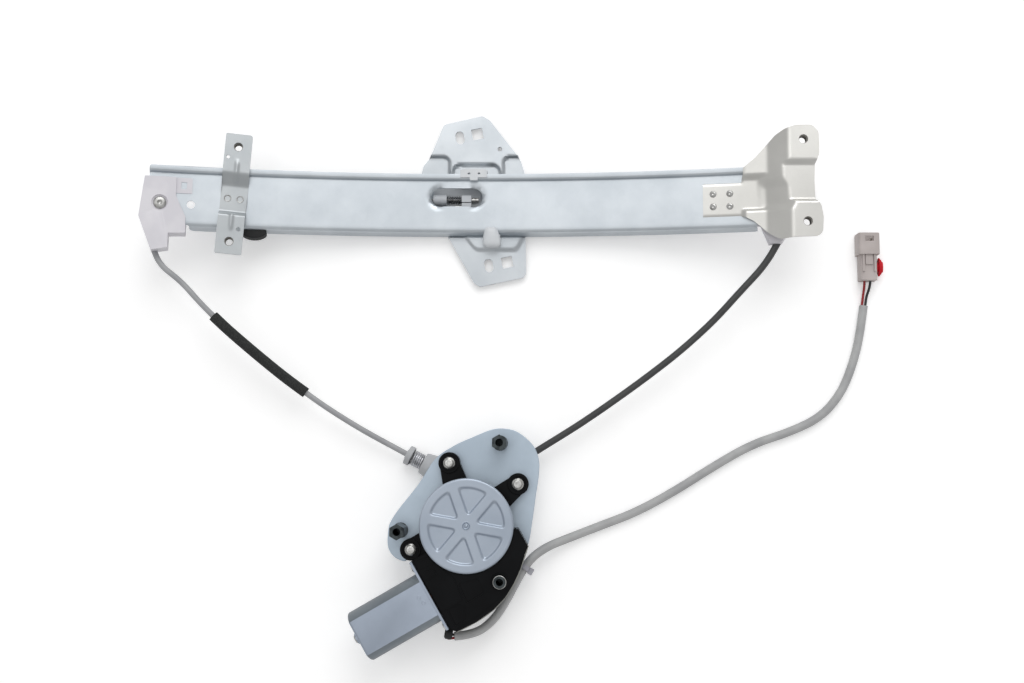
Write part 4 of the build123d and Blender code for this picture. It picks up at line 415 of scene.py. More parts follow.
def foam(name, colour, other):
    """Open-cell foam: small pits in a dull skin, with the pits painted darker as the shade inside them."""
    finish = Finish(name, roughness=0.95)
    shaded_pits = finish.node("ShaderNodeTexVoronoi", {"feature": "F1"},
                        {"Vector": finish.place(1400), "Scale": 1.0})
    # The pits take the darker colour: painted shade inside the open cells.
    finish.two_tone(shaded_pits.above(0.2, 0.7), other, colour)
    finish.relief(shaded_pits, 0.0003)
    return finish.material


dress("foam_sleeve", foam("sleeve_foam", (52, 54, 53), (30, 31, 31)))
cable_wire = turned_metal("cable_wire", (150, 150, 150), (95, 93, 90), 0.4)
for name in ("left_inner_cable", "right_inner_cable", "left_cable_run", "right_cable_run", "cable_wraps"):
    dress(name, cable_wire)


# ---- guide rail ----
# The rail is one strip of zinc-plated steel, roll-formed with a stepped lip along the top and a flange along
# the bottom, and bent to the curve of the glass. Its slot has pressed, rounded ends.

bend_radius, bend_x, web_z = 900.0, 5.0, 12.0


def rail_place(x, y, out):
    """A place at x along the rail and y across it, out from the front of the web, in millimetres."""
    turn = asin(max(-1.0, min(1.0, (x - bend_x) / bend_radius)))
    reach = bend_radius - out
    return Vector((bend_x + reach * sin(turn), y, web_z + bend_radius - reach * cos(turn)))


def edge_distance(point, outline):
    """How far a place is from an outline's nearest edge, in its own plane."""
    nearest = 1e9
    for i, b in enumerate(outline):
        a = outline[i - 1]
        ax, ay = b[0] - a[0], b[1] - a[1]
        px, py = point[0] - a[0], point[1] - a[1]
        along = max(0.0, min(1.0, (px * ax + py * ay) / max(ax * ax + ay * ay, 1e-12)))
        nearest = min(nearest, hypot(px - along * ax, py - along * ay))
    return nearest


def inside(point, outline):
    """Whether a place lies within a closed outline."""
    x, y = point
    odd = False
    for i, (bx, by) in enumerate(outline):
        ax, ay = outline[i - 1]
        if (ay > y) != (by > y) and x < (bx - ax) * (y - ay) / (by - ay) + ax:
            odd = not odd
    return odd


def spaced(outline, step):
    """An outline with no side longer than step."""
    made = []
    for i, b in enumerate(outline):
        a = outline[i - 1]
        pieces = max(1, round(hypot(b[0] - a[0], b[1] - a[1]) / step))
        made += [(a[0] + (b[0] - a[0]) * k / pieces, a[1] + (b[1] - a[1]) * k / pieces)
                 for k in range(pieces)]
    return made


def pressed_sheet(name, outline, holes, place, thickness, step, material, stands_for=(), edge=0.3,
                  lines_v=(), body="frame"):
    """Sheet metal: an outline with holes, cut flat and then formed by place(u, v), with its edges eased."""
    loops = [spaced(outline, step)] + [spaced(hole, step) for hole in holes]
    points, edges = [], []
    for loop in loops:
        first = len(points)
        points += loop
        edges += [(first + k, first + (k + 1) % len(loop)) for k in range(len(loop))]
    us, vs = [p[0] for p in outline], [p[1] for p in outline]
    rows = int((max(vs) - min(vs)) / step) + 1
    columns = int((max(us) - min(us)) / step) + 1
    grid_v = sorted({min(vs) + (k + 0.5) * step for k in range(rows)} | set(lines_v))
    for v in grid_v:
        if v not in lines_v and any(abs(v - w) <= 0.3 * step for w in lines_v):
            continue
        for u in (min(us) + (k + 0.5) * step for k in range(columns)):
            if not inside((u, v), outline) or any(inside((u, v), hole) for hole in holes):
                continue
            if all(edge_distance((u, v), loop) > 0.35 * step for loop in [outline, *holes]):
                points.append((u, v))
    found = delaunay_2d_cdt([Vector(p) for p in points], edges, [], 0, 1e-5)
    bm = bmesh.new()
    front, rear = [], []
    for p in found[0]:
        here = place(p.x, p.y)
        along = place(p.x + 0.3, p.y) - place(p.x - 0.3, p.y)
        over = place(p.x, p.y + 0.3) - place(p.x, p.y - 0.3)
        front.append(bm.verts.new(here * MM))
        rear.append(bm.verts.new((here - along.cross(over).normalized() * thickness) * MM))
    for triangle in found[2]:
        middle = sum((found[0][i] for i in triangle), Vector((0, 0))) / 3
        if inside(middle, outline) and not any(inside(middle, hole) for hole in holes):
            bm.faces.new([front[i] for i in triangle])
            bm.faces.new([rear[i] for i in reversed(triangle)])
    turned = dict(zip(front, rear))
    for rim in [e for e in bm.edges if len(e.link_faces) == 1 and e.verts[0] in turned]:
        a, b = rim.verts
        bm.faces.new((a, b, turned[b], turned[a]))
    bmesh.ops.delete(bm, geom=[v for v in bm.verts if not v.link_faces], context="VERTS")
    finished(name, bm, material, edge, 60.0, stands_for, body)


def ramp(value, low, high):
    """0 below low, 1 above high, smooth between; low may be the larger."""
    share = max(0.0, min(1.0, (value - low) / (high - low)))
    return share * share * (3 - 2 * share)


def plated(name, colour, other, roughness=0.36, metallic=0.85):
    """Zinc-plated sheet: a soft grey sheen with a faint crystal pattern, handling marks and fine grain."""
    finish = Finish(name, metallic=metallic, roughness=roughness)
    crystals = finish.node("ShaderNodeTexVoronoi", {"feature": "F1"},
                           {"Vector": finish.place(220), "Scale": 1.0}, 1)
    patches = finish.cloud(28, 4.0)
    grain = finish.cloud(2200, 2.0, stretch=(0.25, 1, 1))
    marks = finish.cloud(160, 6.0).above(0.58, 0.75)
    tone = finish.node("ShaderNodeSeparateColor", {}, {"Color": crystals})
    finish.two_tone(patches.above(0.3, 0.7) * 0.75 + 0.12 * tone, colour, other)
    finish.roughness(roughness + 0.14 * (patches - 0.5) + 0.1 * (grain - 0.5) + 0.08 * marks)
    finish.relief(grain * 0.6 + 0.4 * marks, 0.000012)
    return finish.material


lip_top, lip_low, web_top, web_low = 247.2, 244.3, 243.4, 206.5
profile = [(lip_top, 3.0), (lip_low, 3.0), (web_top, 0.0), (web_low, 0.0), (web_low - 1.4, -9.0)]
formed = softened([(-9, 260), *profile, (-30, 150)], [0, 0, 0.6, 0.8, 1.6, 0, 0])[1:-1]
formed[0] = profile[0]
reach = [0.0]
for (y0, z0), (y1, z1) in zip(formed, formed[1:]):
    reach.append(reach[-1] + hypot(y1 - y0, z1 - z0))


def across_rail(v):
    """The place across the formed section at v millimetres below the lip's edge."""
    for i in range(1, len(reach)):
        if v <= reach[i] or i == len(reach) - 1:
            share = (v - reach[i - 1]) / (reach[i] - reach[i - 1])
            return [a + (b - a) * share for a, b in zip(formed[i - 1], formed[i])]


def flat_of(y):
    """How far below the lip's edge a web place at height y lies."""
    for i in range(1, len(reach)):
        (y0, _), (y1, _) = formed[i - 1], formed[i]
        if y1 <= y:
            return reach[i - 1] + (y0 - y) / (y0 - y1) * (reach[i] - reach[i - 1])


slot_v, slot_half = (flat_of(237.5) + flat_of(224.3)) / 2, 6.6
slot_centres = (-28.8 + slot_half, 8.1 - slot_half)


def rail_form(u, v):
    """The formed section along the curve, with the slot's round ends pressed back."""
    y, out = across_rail(v)
    beyond = hypot(max(slot_centres[0] - u, u - slot_centres[1], 0.0), v - slot_v) - slot_half
    end = ramp(abs(u + 10.35), 8.0, 14.0)
    if 0 <= beyond < 3.2 and abs(out) < 0.1:
        out -= 0.6 * end * (1 - ramp(beyond, 1.0, 3.1))
    return rail_place(u, y, out)


rail_cut = [(-222.6, 0.0), (199.6, 0.0), (199.6, reach[-1]), (-196.0, reach[-1]), (-196.0, flat_of(206.9)),
            (-222.6, flat_of(206.9))]
rail_cut = softened(rail_cut, [1.5, 1.5, 2.0, 4.0, 1.0, 2.0])
slot_cut = [(centre + slot_half * cos(radians(a)), slot_v + slot_half * sin(radians(a)))
            for centre, start in zip(slot_centres[::-1], (-90, 90)) for a in range(start, start + 181, 10)]
pressed_sheet("rail", rail_cut, [slot_cut, disc(-195.1, flat_of(220.7), 2.8)], rail_form, 1.2, 1.5,
              plated("rail_zinc", (208, 214, 219), (190, 197, 203)), ["guide_rail"], 0.25,
              lines_v=reach[1:-1])


# ---- end bracket ----
# A plated pressing riveted to the rail's right end. It climbs from the rail to two high flanges, which take
# the door's bolts, with a sunk panel between them.

def soft_min(a, b, blend):
    """The smaller of two heights, with a rounded change from one to the other."""
    share = max(0.0, min(1.0, 0.5 + 0.5 * (b - a) / blend))
    return b + (a - b) * share - blend * share * (1 - share)


def soft_max(a, b, blend):
    return -soft_min(-a, -b, blend)


flange_z, bracket_sheet, bolt_hole = 50.0, 1.8, 3.2
bracket_cut = [(163.1, 212.9), (188.9, 212.9), (190.6, 212.6), (196.4, 209.4), (201.6, 204.8), (206.6, 199.8),
               (212.6, 195.3), (220.7, 195.7), (240.8, 196.5), (241.6, 209.4), (240.2, 217.6), (237.0, 222.4),
               (236.5, 235.0), (237.0, 246.6), (239.4, 253.0), (239.6, 262.0), (239.2, 268.8), (235.0, 273.4),
               (223.6, 273.3), (216.0, 270.8), (210.7, 267.6), (198.2, 253.6), (189.8, 246.6), (189.4, 238.3),
               (188.6, 237.4), (163.1, 237.4)]
bracket_cut = softened(bracket_cut, [0.8, 1, 1, 4, 6, 4, 4, 6, 5, 8, 3, 3, 10, 3, 4, 8, 4, 4, 8, 4, 8, 6, 1.5,
                                     0.5, 0.5, 0.8])


def bracket_form(x, y):
    """Flat tab, raised gussets beside it, the climbing wall, then the flanges with the sunk panel between."""
    level = rail_place(x, y, bracket_sheet).z
    level -= 0.9 * (ramp(y, 214.2, 213.0) + ramp(y, 236.2, 237.4)) * ramp(x, 190.5, 188.5)
    high_gusset = 3.6 * ramp(y, 238.4, 242.2) * ramp(x, 188.0, 189.4)
    low_gusset = 2.2 * ramp(y, 218.4, 216.0) * ramp(x, 189.2, 191.4)
    foot = 201.4 - 1.5 * ramp(y, 219.0, 241.0)
    head = 220.4 - 1.9 * ramp(y, 219.0, 249.0)
    base = rail_place(foot, y, bracket_sheet).z
    wall = base + (x - foot) * (flange_z - base) / (head - foot)
    wall -= 2.2 * ramp(y, 214.0, 221.0) * ramp(y, 238.5, 231.0) * ramp(x, 200.0, 206.0)
    height = soft_max(level + high_gusset + low_gusset, wall, 0.7)
    sunk = 3.0 * ramp(y, 220.4, 222.4) * ramp(y, 249.2, 246.8)
    return Vector((x, y, soft_min(height, flange_z - sunk, 1.0)))


end_bolts = ((228.9, 263.4), (231.0, 206.5))
pressed_sheet("end_bracket_pressing", bracket_cut, [disc(x, y, bolt_hole) for x, y in end_bolts],
              bracket_form, bracket_sheet, 1.1,
              plated("bracket_plate", (217, 216, 212), (205, 204, 200), 0.34),
              ["end_bracket"], 0.3)


def on_curve(x, y, out=0.0):
    """A frame standing on the front of the rail's curve at x, y, with z pointing away from the door glass."""
    turn = asin((x - bend_x) / bend_radius)
    return Matrix.Translation(rail_place(x, y, out)) @ Matrix.Rotation(-turn, 4, "Y")


rivet_steel = turned_metal("rivet_steel", (196, 196, 194), (150, 149, 146), 0.36)
rivet_radius, rivet_rise = 2.4, 0.9
rivet_round = [(rivet_radius * cos(radians(a)), rivet_rise * sin(radians(a))) for a in range(0, 61, 15)]
rivet_dimple = [(rivet_radius / 2, rivet_rise), (rivet_radius / 4, rivet_rise / 2), (0, 0.45 * rivet_rise)]
rivets = bmesh.new()
for x in (170.3, 181.6):
    for y in (220.6, 229.6):
        add_turned(rivets, [(1.5, -8.5), (1.5, 0.0), *rivet_round, *rivet_dimple],
                   on_curve(x, y, bracket_sheet))
finished("end_rivets", rivets, rivet_steel, stands_for=["end_bracket_rivets"])


# ---- cross bracket ----
# A strap of plated steel across the rail near its left end, joggled twice to clear the lip and stiffened
# with a rib at each bend. Two rivets hold it, and its ends carry weld nuts.

cross_place = on_curve(-166.5, 226.0) @ Matrix.Rotation(radians(-4), 4, "Z")
cross_cut = softened(rectangle(-9.2, -40.2, 9.2, 45.2), [0.8, 0.8, 1.6, 0.8])


def rib(u, v, centre, low, high, width):
    """A pressed rib that fades out at its far end."""
    side = max(0.0, 1 - ((u - centre) / width) ** 2)
    return side * ramp(v, low, low + 1.5) * ramp(v, high, high - 5.0)


def fold(value, low, high, ease=0.1):
    """A straight climb from 0 at low to 1 at high, eased at both bends."""
    return soft_min(soft_max((value - low) / (high - low), 0.0, ease), 1.0, ease)


def cross_form(u, v):
    rise = 1.85 + 5.95 * fold(v, 9.4, 17.2) + 5.95 * fold(v, -9.4, -12.4)
    rise += 0.9 * rib(u, v, 0.4, 11.0, 28.0, 1.7) + 0.9 * rib(u, -v, 0.0, 10.0, 24.5, 1.6)
    return cross_place @ Vector((u, v, rise))


cross_bolts = (36.0, -31.4)
cross_holes = [*[disc(0, v, bolt_hole) for v in cross_bolts], disc(-6.3, 28.4, 1.3, 14),
               disc(5.6, -22.4, 1.5, 14)]
pressed_sheet("cross_bracket_pressing", cross_cut, cross_holes, cross_form, bracket_sheet, 0.9,
              plated("cross_plate", (190, 194, 196), (176, 181, 184), 0.4, metallic=0.75),
              ["cross_bracket"], 0.25)
dimples = bmesh.new()
for u in (-4.3, 4.3):
    add_turned(dimples, [(0, -2.1), (2.3, -2.0), (2.3, -1.3), (1.5, -1.3), (1.5, 1.8), (2.5, 1.8),
                         (2.5, 2.05), (2.25, 2.25), (1.95, 2.2), (1.6, 1.4), (1.2, 1.0), (0, 0.9)],
               cross_place @ Matrix.Translation((u, 0, 0)))
finished("cross_rivets", dimples, rivet_steel, stands_for=["cross_bracket_rivets"])


# ---- weld nuts ----
# Hexagon nuts of steel with an M6 thread, welded to the backs of the brackets' flanges and left dull by
# the heat.

thread_pitch, thread_depth = 1.0, 0.35


def add_nut(bm, place, bore=2.5, height=5.0, flats=10.0, steps=36):
    """A hexagon nut below z = 0, with a threaded bore."""
    top, low = [], []
    for ring, z in ((top, 0.0), (low, -height)):
        for angle in (360 * k / steps for k in range(steps)):
            out = flats / 2 / cos(radians(angle % 60 - 30))
            corner = Vector((out * cos(radians(angle)), out * sin(radians(angle)), z))
            ring.append(bm.verts.new(place @ corner * MM))
    turns = 2 * int(height / thread_pitch)
    rows = []
    for r in range(turns + 1):
        wall = bore + (thread_depth if r % 2 else 0.0)
        rows.append([bm.verts.new(place @ Vector((x, y, -height * r / turns)) * MM)
                     for x, y in disc(0, 0, wall, steps)])
    for one, two in ((top, low), (rows[0], top), (low, rows[-1]), *zip(rows, rows[1:])):
        for k in range(steps):
            j = (k + 1) % steps
            bm.faces.new((one[k], one[j], two[j], two[k]))


nuts = bmesh.new()
for v in cross_bolts:
    add_nut(nuts, cross_place @ Matrix.Translation((0, v, 6.0)))
for x, y in end_bolts:
    add_nut(nuts, Matrix.Translation((x, y, flange_z - bracket_sheet)))
finished("flange_nuts", nuts, turned_metal("nut_steel", (150, 148, 144), (108, 106, 102), 0.45),
         sharp=30, stands_for=["weld_nuts"])


# ---- left cable guide ----
# One moulding in white acetal. It clips over the rail's end, turns the cable down towards its conduit in a
# smooth groove, and a rivet through its boss holds it.

def eased_form(name, node, material, edge, add=None, body="frame"):
    """The solid of a node as a finished piece, its edges rounded as its maker's tool leaves them."""
    bm = bmesh.new()
    bm.from_mesh(nodes[node].data)
    bmesh.ops.remove_doubles(bm, verts=bm.verts, dist=1e-6)
    bmesh.ops.dissolve_limit(bm, angle_limit=radians(2), verts=bm.verts, edges=bm.edges)
    if add:
        add(bm)
    return finished(name, bm, material, edge, stands_for=[node], body=body)


white_acetal = moulded("white_acetal", (226, 224, 229), (218, 216, 222), 0.38)
eased_form("left_guide", "left_cable_guide", white_acetal, 0.5)
guide_rivet = bmesh.new()
add_turned(guide_rivet, [(0, -13.8), (4.2, -13.6), (4.4, -13.2), (4.4, -12.3), (2.0, -12.3), (2.0, 2.1),
                         (4.4, 2.1), (4.4, 2.6), (3.9, 3.2), (2.9, 3.5), (1.7, 3.5), (1.3, 3.1), (0, 2.7)],
           on_curve(-215.4, 221.0))
finished("guide_rivet_set", guide_rivet, rivet_steel, stands_for=["guide_rivet"])


# ---- right cable guide ----
# A second moulding in the same acetal, held under the end bracket by its four rivets. Its funnel takes the
# black conduit's end.

def narrowed(bm):
    """The guide's mouth drawn in to a funnel round the conduit, and its corner kept behind the bracket."""
    for corner in bm.verts:
        x, y = corner.co.x / MM, corner.co.y / MM
        if y < 203.0 and x < 200.0:
            corner.co += Vector((5.5, 5.2, 0)) * MM
        elif y < 195.0 and x < 208.6:
            corner.co += Vector((2.0, 0.4, 0)) * MM
        elif y < 195.0 and x > 217.0:
            corner.co += Vector((-2.6, 0.2, 0)) * MM


eased_form("right_guide", "right_cable_guide", white_acetal, 0.5, narrowed)


# ---- bump stop ----
# A moulded block of black rubber, slotted over the rail's lower flange. The glass carrier meets it when the
# glass is down.

stop_round = [(9.0 * cos(radians(a)), 4.0 + 4.6 * sin(radians(a))) for a in range(190, 351, 10)]
stop = bmesh.new()
add_prism(stop, [(-7.8, 11.0), (-8.8, 4.0), *stop_round, (8.8, 4.0), (7.8, 11.0)], -12.8, -1.3,
          on_curve(-152.8, 199.9))
finished("bump_block", stop, moulded("stop_rubber", (30, 31, 32), (24, 25, 26), 0.75, 0.00004),
         0.9, stands_for=["bump_stop"])


# ---- glass carrier ----
# A zinc-plated pressing that rides behind the rail. Its two raised ears have the holes that the glass is
# clamped through, and the sheet is sunk at three places along the lip and raised under the lower shoe.

def beyond_pad(x, y, left, right, low, top, radius):
    """How far a place is outside a rounded rectangle, in its own plane."""
    across_x = abs(x - (left + right) / 2) - (right - left) / 2 + radius
    across_y = abs(y - (low + top) / 2) - (top - low) / 2 + radius
    return hypot(max(across_x, 0), max(across_y, 0)) + min(max(across_x, across_y), 0) - radius


ear_rise, boss_rise, pressing = 3.0, 1.8, 1.5
carrier_cut = [(-36.9, 216.0), (-36.9, 250.5), (-35.6, 256.5), (-29.8, 263.8), (-20.8, 286.5), (7.3, 293.0),
               (12.5, 289.7), (35.1, 260.5), (38.2, 250.5), (38.8, 203.5), (39.4, 177.2), (37.4, 174.3),
               (6.2, 167.6), (2.2, 170.0), (-17.0, 204.2), (-17.0, 216.0)]
carrier_cut = softened(carrier_cut, [1, 6, 6, 3, 3.5, 4, 4, 8, 6, 6, 3, 3, 3, 3, 2, 1], 4)


def carrier_level(x, y):
    """The height of the pressing's front."""
    sunk = min(beyond_pad(x, y, -90, -17.2, 225, 262.2, 3.5), beyond_pad(x, y, 23.4, 110, 225, 262.2, 3.5),
               beyond_pad(x, y, -13.2, 19.4, 225, 256.5, 5.0), max(y - 248.5, 1.6 * (204.6 - y)))
    height = pressing + ear_rise * ramp(sunk, -0.1, 1.6)
    left, right = -4.4 + (203.5 - y) * 0.8, 37.0 - (203.5 - y) * 0.5
    off_boss = -soft_min(soft_min(x - left, right - x, 3.0), soft_min(y - 194.3, 204.8 - y, 1.0), 3.0)
    return height + (pressing + ear_rise + boss_rise - height) * ramp(off_boss, 1.1, -1.1)


def ear_hole(x, y, kind):
    """An oblong or a square hole, leaning 12 degrees."""
    lean = Matrix.Rotation(radians(12), 2)
    if kind == "slot":
        loop = [(3.1 * cos(radians(a)), 1.7 + 3.1 * sin(radians(a))) for a in range(0, 181, 15)]
        loop += [(-u, -v) for u, v in loop]
    else:
        loop = softened(rectangle(-4, -4, 4, 4), 0.5, 3)
    return [tuple(Vector((x, y)) + lean @ Vector(p)) for p in loop]


carrier_holes = [ear_hole(-9.0, 276.8, "slot"), ear_hole(12.5, 183.0, "slot"), ear_hole(3.6, 279.6, "square"),
                 ear_hole(25.7, 185.5, "square"), disc(20.0, 268.4, 1.7, 16),
                 *[disc(x, y, 2.0, 16) for x, y in ((-21.0, 220.0), (0.0, 219.5), (-12.0, 236.5))]]
pressed_sheet("carrier_pressing", carrier_cut, carrier_holes,
              lambda x, y: Vector((x, y, carrier_level(x, y))), pressing, 1.0,
              plated("carrier_zinc", (204, 209, 213), (188, 194, 199), 0.4),
              ["glass_carrier"], 0.25, body="carrier")


# ---- sliding shoes ----
# Two acetal shoes moulded on the carrier. The upper one grips the rail's lip. The lower one hooks round its
# flange and ends in a domed thumb.

def add_walls(bm, rings, place=Matrix.Identity(4)):
    """Walls from ring to ring of places, closed by a flat face at each end."""
    made = [[bm.verts.new(place @ Vector(p) * MM) for p in ring] for ring in rings]
    for one, two in zip(made, made[1:]):
        for k in range(len(one)):
            j = (k + 1) % len(one)
            bm.faces.new((one[k], one[j], two[j], two[k]))
    bm.faces.new(made[0][::-1])
    bm.faces.new(made[-1])


shoe_acetal = moulded("shoe_acetal", (218, 221, 224), (208, 212, 216), 0.4)
upper_back = bmesh.new()
add_prism(upper_back, rectangle(-7.7, 247.6, 11.5, 250.4), 1.6, 16.4)
add_prism(upper_back, rectangle(-7.7, 246.0, 11.5, 248.0), 1.6, 13.4)
finished("upper_shoe_back", upper_back, shoe_acetal, 0.3, stands_for=["top_shoe"],
         body="carrier")
tab_cut = [(-7.7, 244.4), (-0.9, 244.4), (-0.9, 242.4), (4.8, 242.4), (4.8, 244.4), (11.5, 244.4),
           (11.0, 250.6), (-7.2, 250.6)]
pressed_sheet("upper_shoe_tab", softened(tab_cut, [0.8, 0.5, 0.8, 0.8, 0.5, 0.8, 1.6, 1.6], 3),
              [disc(-1.5, 247.0, 0.95, 12), disc(5.6, 247.0, 0.95, 12)], lambda x, y: Vector((x, y, 18.0)),
              2.5, 1.6, shoe_acetal, edge=0.45, body="carrier")
thumb = bmesh.new()
thumb_x, thumb_y = 14.7, 202.6
thumb_cut = softened([(8.5, 194.9), (21.3, 194.9), (20.9, 202.0), (18.2, 209.6), (10.2, 209.6), (8.6, 202.5)],
                     [4.0, 4.0, 5.0, 3.4, 3.4, 5.0], 6)
dome = [(1.0, 6.4), (1.0, 13.4), (0.985, 14.0), (0.95, 14.7), (0.88, 15.3), (0.77, 15.8), (0.62, 16.2),
        (0.42, 16.5), (0.18, 16.6)]
add_walls(thumb, [[(thumb_x + (x - thumb_x) * share, thumb_y + (y - thumb_y) * share, high)
                   for x, y in thumb_cut]
                  for share, high in dome])
for low, top, high in ((203.6, 204.7, 10.4), (203.6, 211.0, 2.6), (208.2, 211.0, 10.4)):
    add_prism(thumb, rectangle(9.0, low, 20.9, top), 1.6, high)
finished("lower_shoe", thumb, shoe_acetal, 0.3, stands_for=["bottom_shoe"], body="carrier")


# ---- cable anchor ----
# A grey acetal block pegged to the carrier. Each cable ends in a crimped ferrule behind it, and a spring
# round the left one takes up the slack.

eased_form("anchor", "cable_anchor", moulded("anchor_acetal", (190, 194, 198), (178, 182, 187), 0.42),
           0.3, body="carrier")
spring_wire = turned_metal("spring_wire", (120, 122, 125), (84, 85, 88), 0.35)
dress("anchor_spring", spring_wire)
dress("cable_ferrules", rivet_steel)


# ---- drum housing and tensioner ----
# The drum turns in a pale nylon housing under the plate. On its left port a coil spring pushes a cap along
# the conduit, so that the cables stay tight.

housing_nylon = moulded("housing_nylon", (188, 190, 192), (176, 178, 181), 0.45)
eased_form("drum_case", "drum_housing", housing_nylon, 0.4)
eased_form("tensioner_seat", "tension_seat", housing_nylon, 0.5)
dress("tension_spring", turned_metal("tension_wire", (205, 206, 210), (150, 152, 156), 0.25))
cap = bmesh.new()
add_turned(cap, [(2.35, 2.6), (5.85, 2.6), (5.85, 0.05), (6.6, 0.05), (6.95, 0.4), (6.95, 3.5), (6.5, 4.0),
                 (3.6, 4.1), (3.3, 4.7), (2.35, 4.7), (2.35, 2.6)],
           facing((-40.5, 45.995, 8.0), (-0.8862, 0.4633, 0.0)))
finished("tensioner_cap", cap, housing_nylon, 0.2, stands_for=["tension_cap"],
         body="tension_cap")
dress("cable_drum", moulded("drum_acetal", (52, 54, 56), (44, 45, 47), 0.5))
shaft_steel = turned_metal("shaft_steel", (178, 178, 178), (140, 139, 137), 0.28)
dress("output_shaft", shaft_steel)


# ---- motor plate ----
# A flat blank of zinc-plated steel, stamped with its holes. It is clamped between the drum housing and the
# gear housing.

def flowing(points, steps=6):
    """A closed smooth curve through the points."""
    made = []
    for i in range(len(points)):
        a, b, c, d = (Vector(points[(i + k - 1) % len(points)]) for k in range(4))
        for t in (k / steps for k in range(steps)):
            made.append(tuple(b + 0.5 * ((c - a) * t + (2 * a - 5 * b + 4 * c - d) * t * t
                                         + (3 * b - a - 3 * c + d) * t ** 3)))
    return made


plate_cut = flowing([
    (-23.0, 44.8), (-9.6, 54.1), (3.0, 59.9), (15.6, 65.0), (24.0, 65.9), (32.4, 64.3), (40.0, 59.2),
    (45.9, 52.6), (48.8, 44.2), (48.8, 34.3), (46.8, 20.1), (44.4, 2.7), (41.5, -13.8), (35.5, -24.0),
    (31.0, -32.5), (28.0, -40.5), (24.5, -44.2), (19.0, -44.4), (10.0, -42.0), (-10.0, -36.0), (-28.0, -30.0),
    (-33.5, -27.0), (-36.5, -22.0), (-41.0, -24.0), (-44.0, -25.4), (-50.6, -22.5), (-54.9, -16.0),
    (-55.2, -6.1), (-53.5, 1.4), (-46.9, 11.4), (-34.5, 27.2)])
screw_spots = ((-12.7, 41.9), (34.4, 27.8), (-38.3, -16.8))
hex_spots, tube_spot = ((21.9, 55.8), (-46.5, -4.2)), (22.6, -36.9)
plate_holes = [disc(0, 0, 9.0, 36), *[disc(x, y, 2.6) for x, y in screw_spots],
               *[disc(x, y, bolt_hole) for x, y in (*hex_spots, tube_spot)]]
pressed_sheet("plate", plate_cut, plate_holes, lambda x, y: Vector((x, y, 22.0)), 2.0, 2.0,
              plated("plate_zinc", (193, 207, 220), (180, 194, 207), 0.42, metallic=0.7),
              ["motor_plate"], 0.5)


# ---- standoffs ----
# Three threaded M6 standoffs carry the plate on the door, blind at the foot. Two are black hexagon bar, and
# the third is a tube through the gear housing, bright where its end is chamfered.

standoff_black = turned_metal("standoff_black", (78, 84, 86), (50, 54, 56), 0.4)
stand_top, stand_length, tube_bore, tube_outer = 46.5, 24.45, 2.5, 4.4
blind_end = [(0, -24.1), (2.7, -24.1), (2.7, -24.4), (0, -24.4)]
stands = bmesh.new()
for x, y in hex_spots:
    place = Matrix.Translation((x, y, stand_top)) @ Matrix.Rotation(radians(90), 4, "Z")
    add_nut(stands, place, height=stand_length, flats=9.6)
    add_turned(stands, blind_end, place)
    add_turned(stands, [(2.6, -24.4), (5.2, -24.4), (5.3, -24.2), (5.3, -23.4), (2.6, -23.25)], place)
finished("standoff_hexes", stands, standoff_black, 0.2, 30, ["standoffs"])
tube = bmesh.new()
tube_place = Matrix.Translation((*tube_spot, stand_top))
rows = int(2 * stand_length / thread_pitch)
thread = [(tube_bore + (thread_depth if r % 2 else 0.0), -stand_length + r * stand_length / rows)
          for r in range(1, rows + 1)]
add_turned(tube, [(tube_outer - 0.3, 0.0), (tube_outer, -0.3), (tube_outer, -stand_length),
                  (tube_bore, -stand_length), *thread, (tube_outer - 0.3, 0.0)], tube_place, 36)
add_turned(tube, blind_end, tube_place)
finished("standoff_tube", tube, standoff_black, sharp=30)
chamfer = bmesh.new()
add_turned(chamfer, [(4.15, 0.0), (4.45, -0.05), (4.6, -0.3), (4.6, -0.9), (4.15, -0.9), (4.15, 0.0)],
           tube_place)
finished("standoff_chamfer", chamfer, rivet_steel, sharp=60)


# ---- motor screws ----
# Three plated machine screws with serrated flanges and star drives. They go through the gear housing's
# lugs and the plate.

def wheel_ring(radius, height, wave=0.0, waves=24, steps=96):
    """A ring of places round the z axis, with waves in its radius."""
    turns = [(radius + wave * cos(waves * a), a) for a in (2 * pi * k / steps for k in range(steps))]
    return [(out * cos(a), out * sin(a), height) for out, a in turns]


screw_steel = turned_metal("screw_steel", (222, 222, 220), (180, 180, 178), 0.3)
screws = bmesh.new()
screw = [(2.2, -22.5), (2.5, -22.0), (2.5, 0.0), (3.9, 0.0, 0.15), (3.95, 0.5, 0.15), (3.5, 0.85),
         (2.95, 0.5), (2.8, 2.2), (2.6, 2.7), (2.3, 2.8), (1.5, 2.8, 0.35, 6), (1.4, 1.2, 0.3, 6)]
for number, (x, y) in enumerate(screw_spots):
    add_walls(screws, [wheel_ring(*ring) for ring in screw],
              Matrix.Translation((x, y, 31.55)) @ Matrix.Rotation(radians(25 * number), 4, "Z"))
finished("drive_screws", screws, screw_steel, sharp=40, stands_for=["motor_screws"])


# ---- gear housing ----
# The motor's housing is one black moulding: a round pot for the wheel, three lugs on arms, and a box for
# the worm and the brushes. Its top has a raised cover over the brushes, sunk panels and a ring round the tube.

housing_black = moulded("housing_black", (13, 14, 16), (9, 10, 12), 0.34, 0.00003, 0.1)
on_motor = Matrix.Translation((14.6, -25.288, 33.0)) @ Matrix.Rotation(radians(30), 4, "Z")


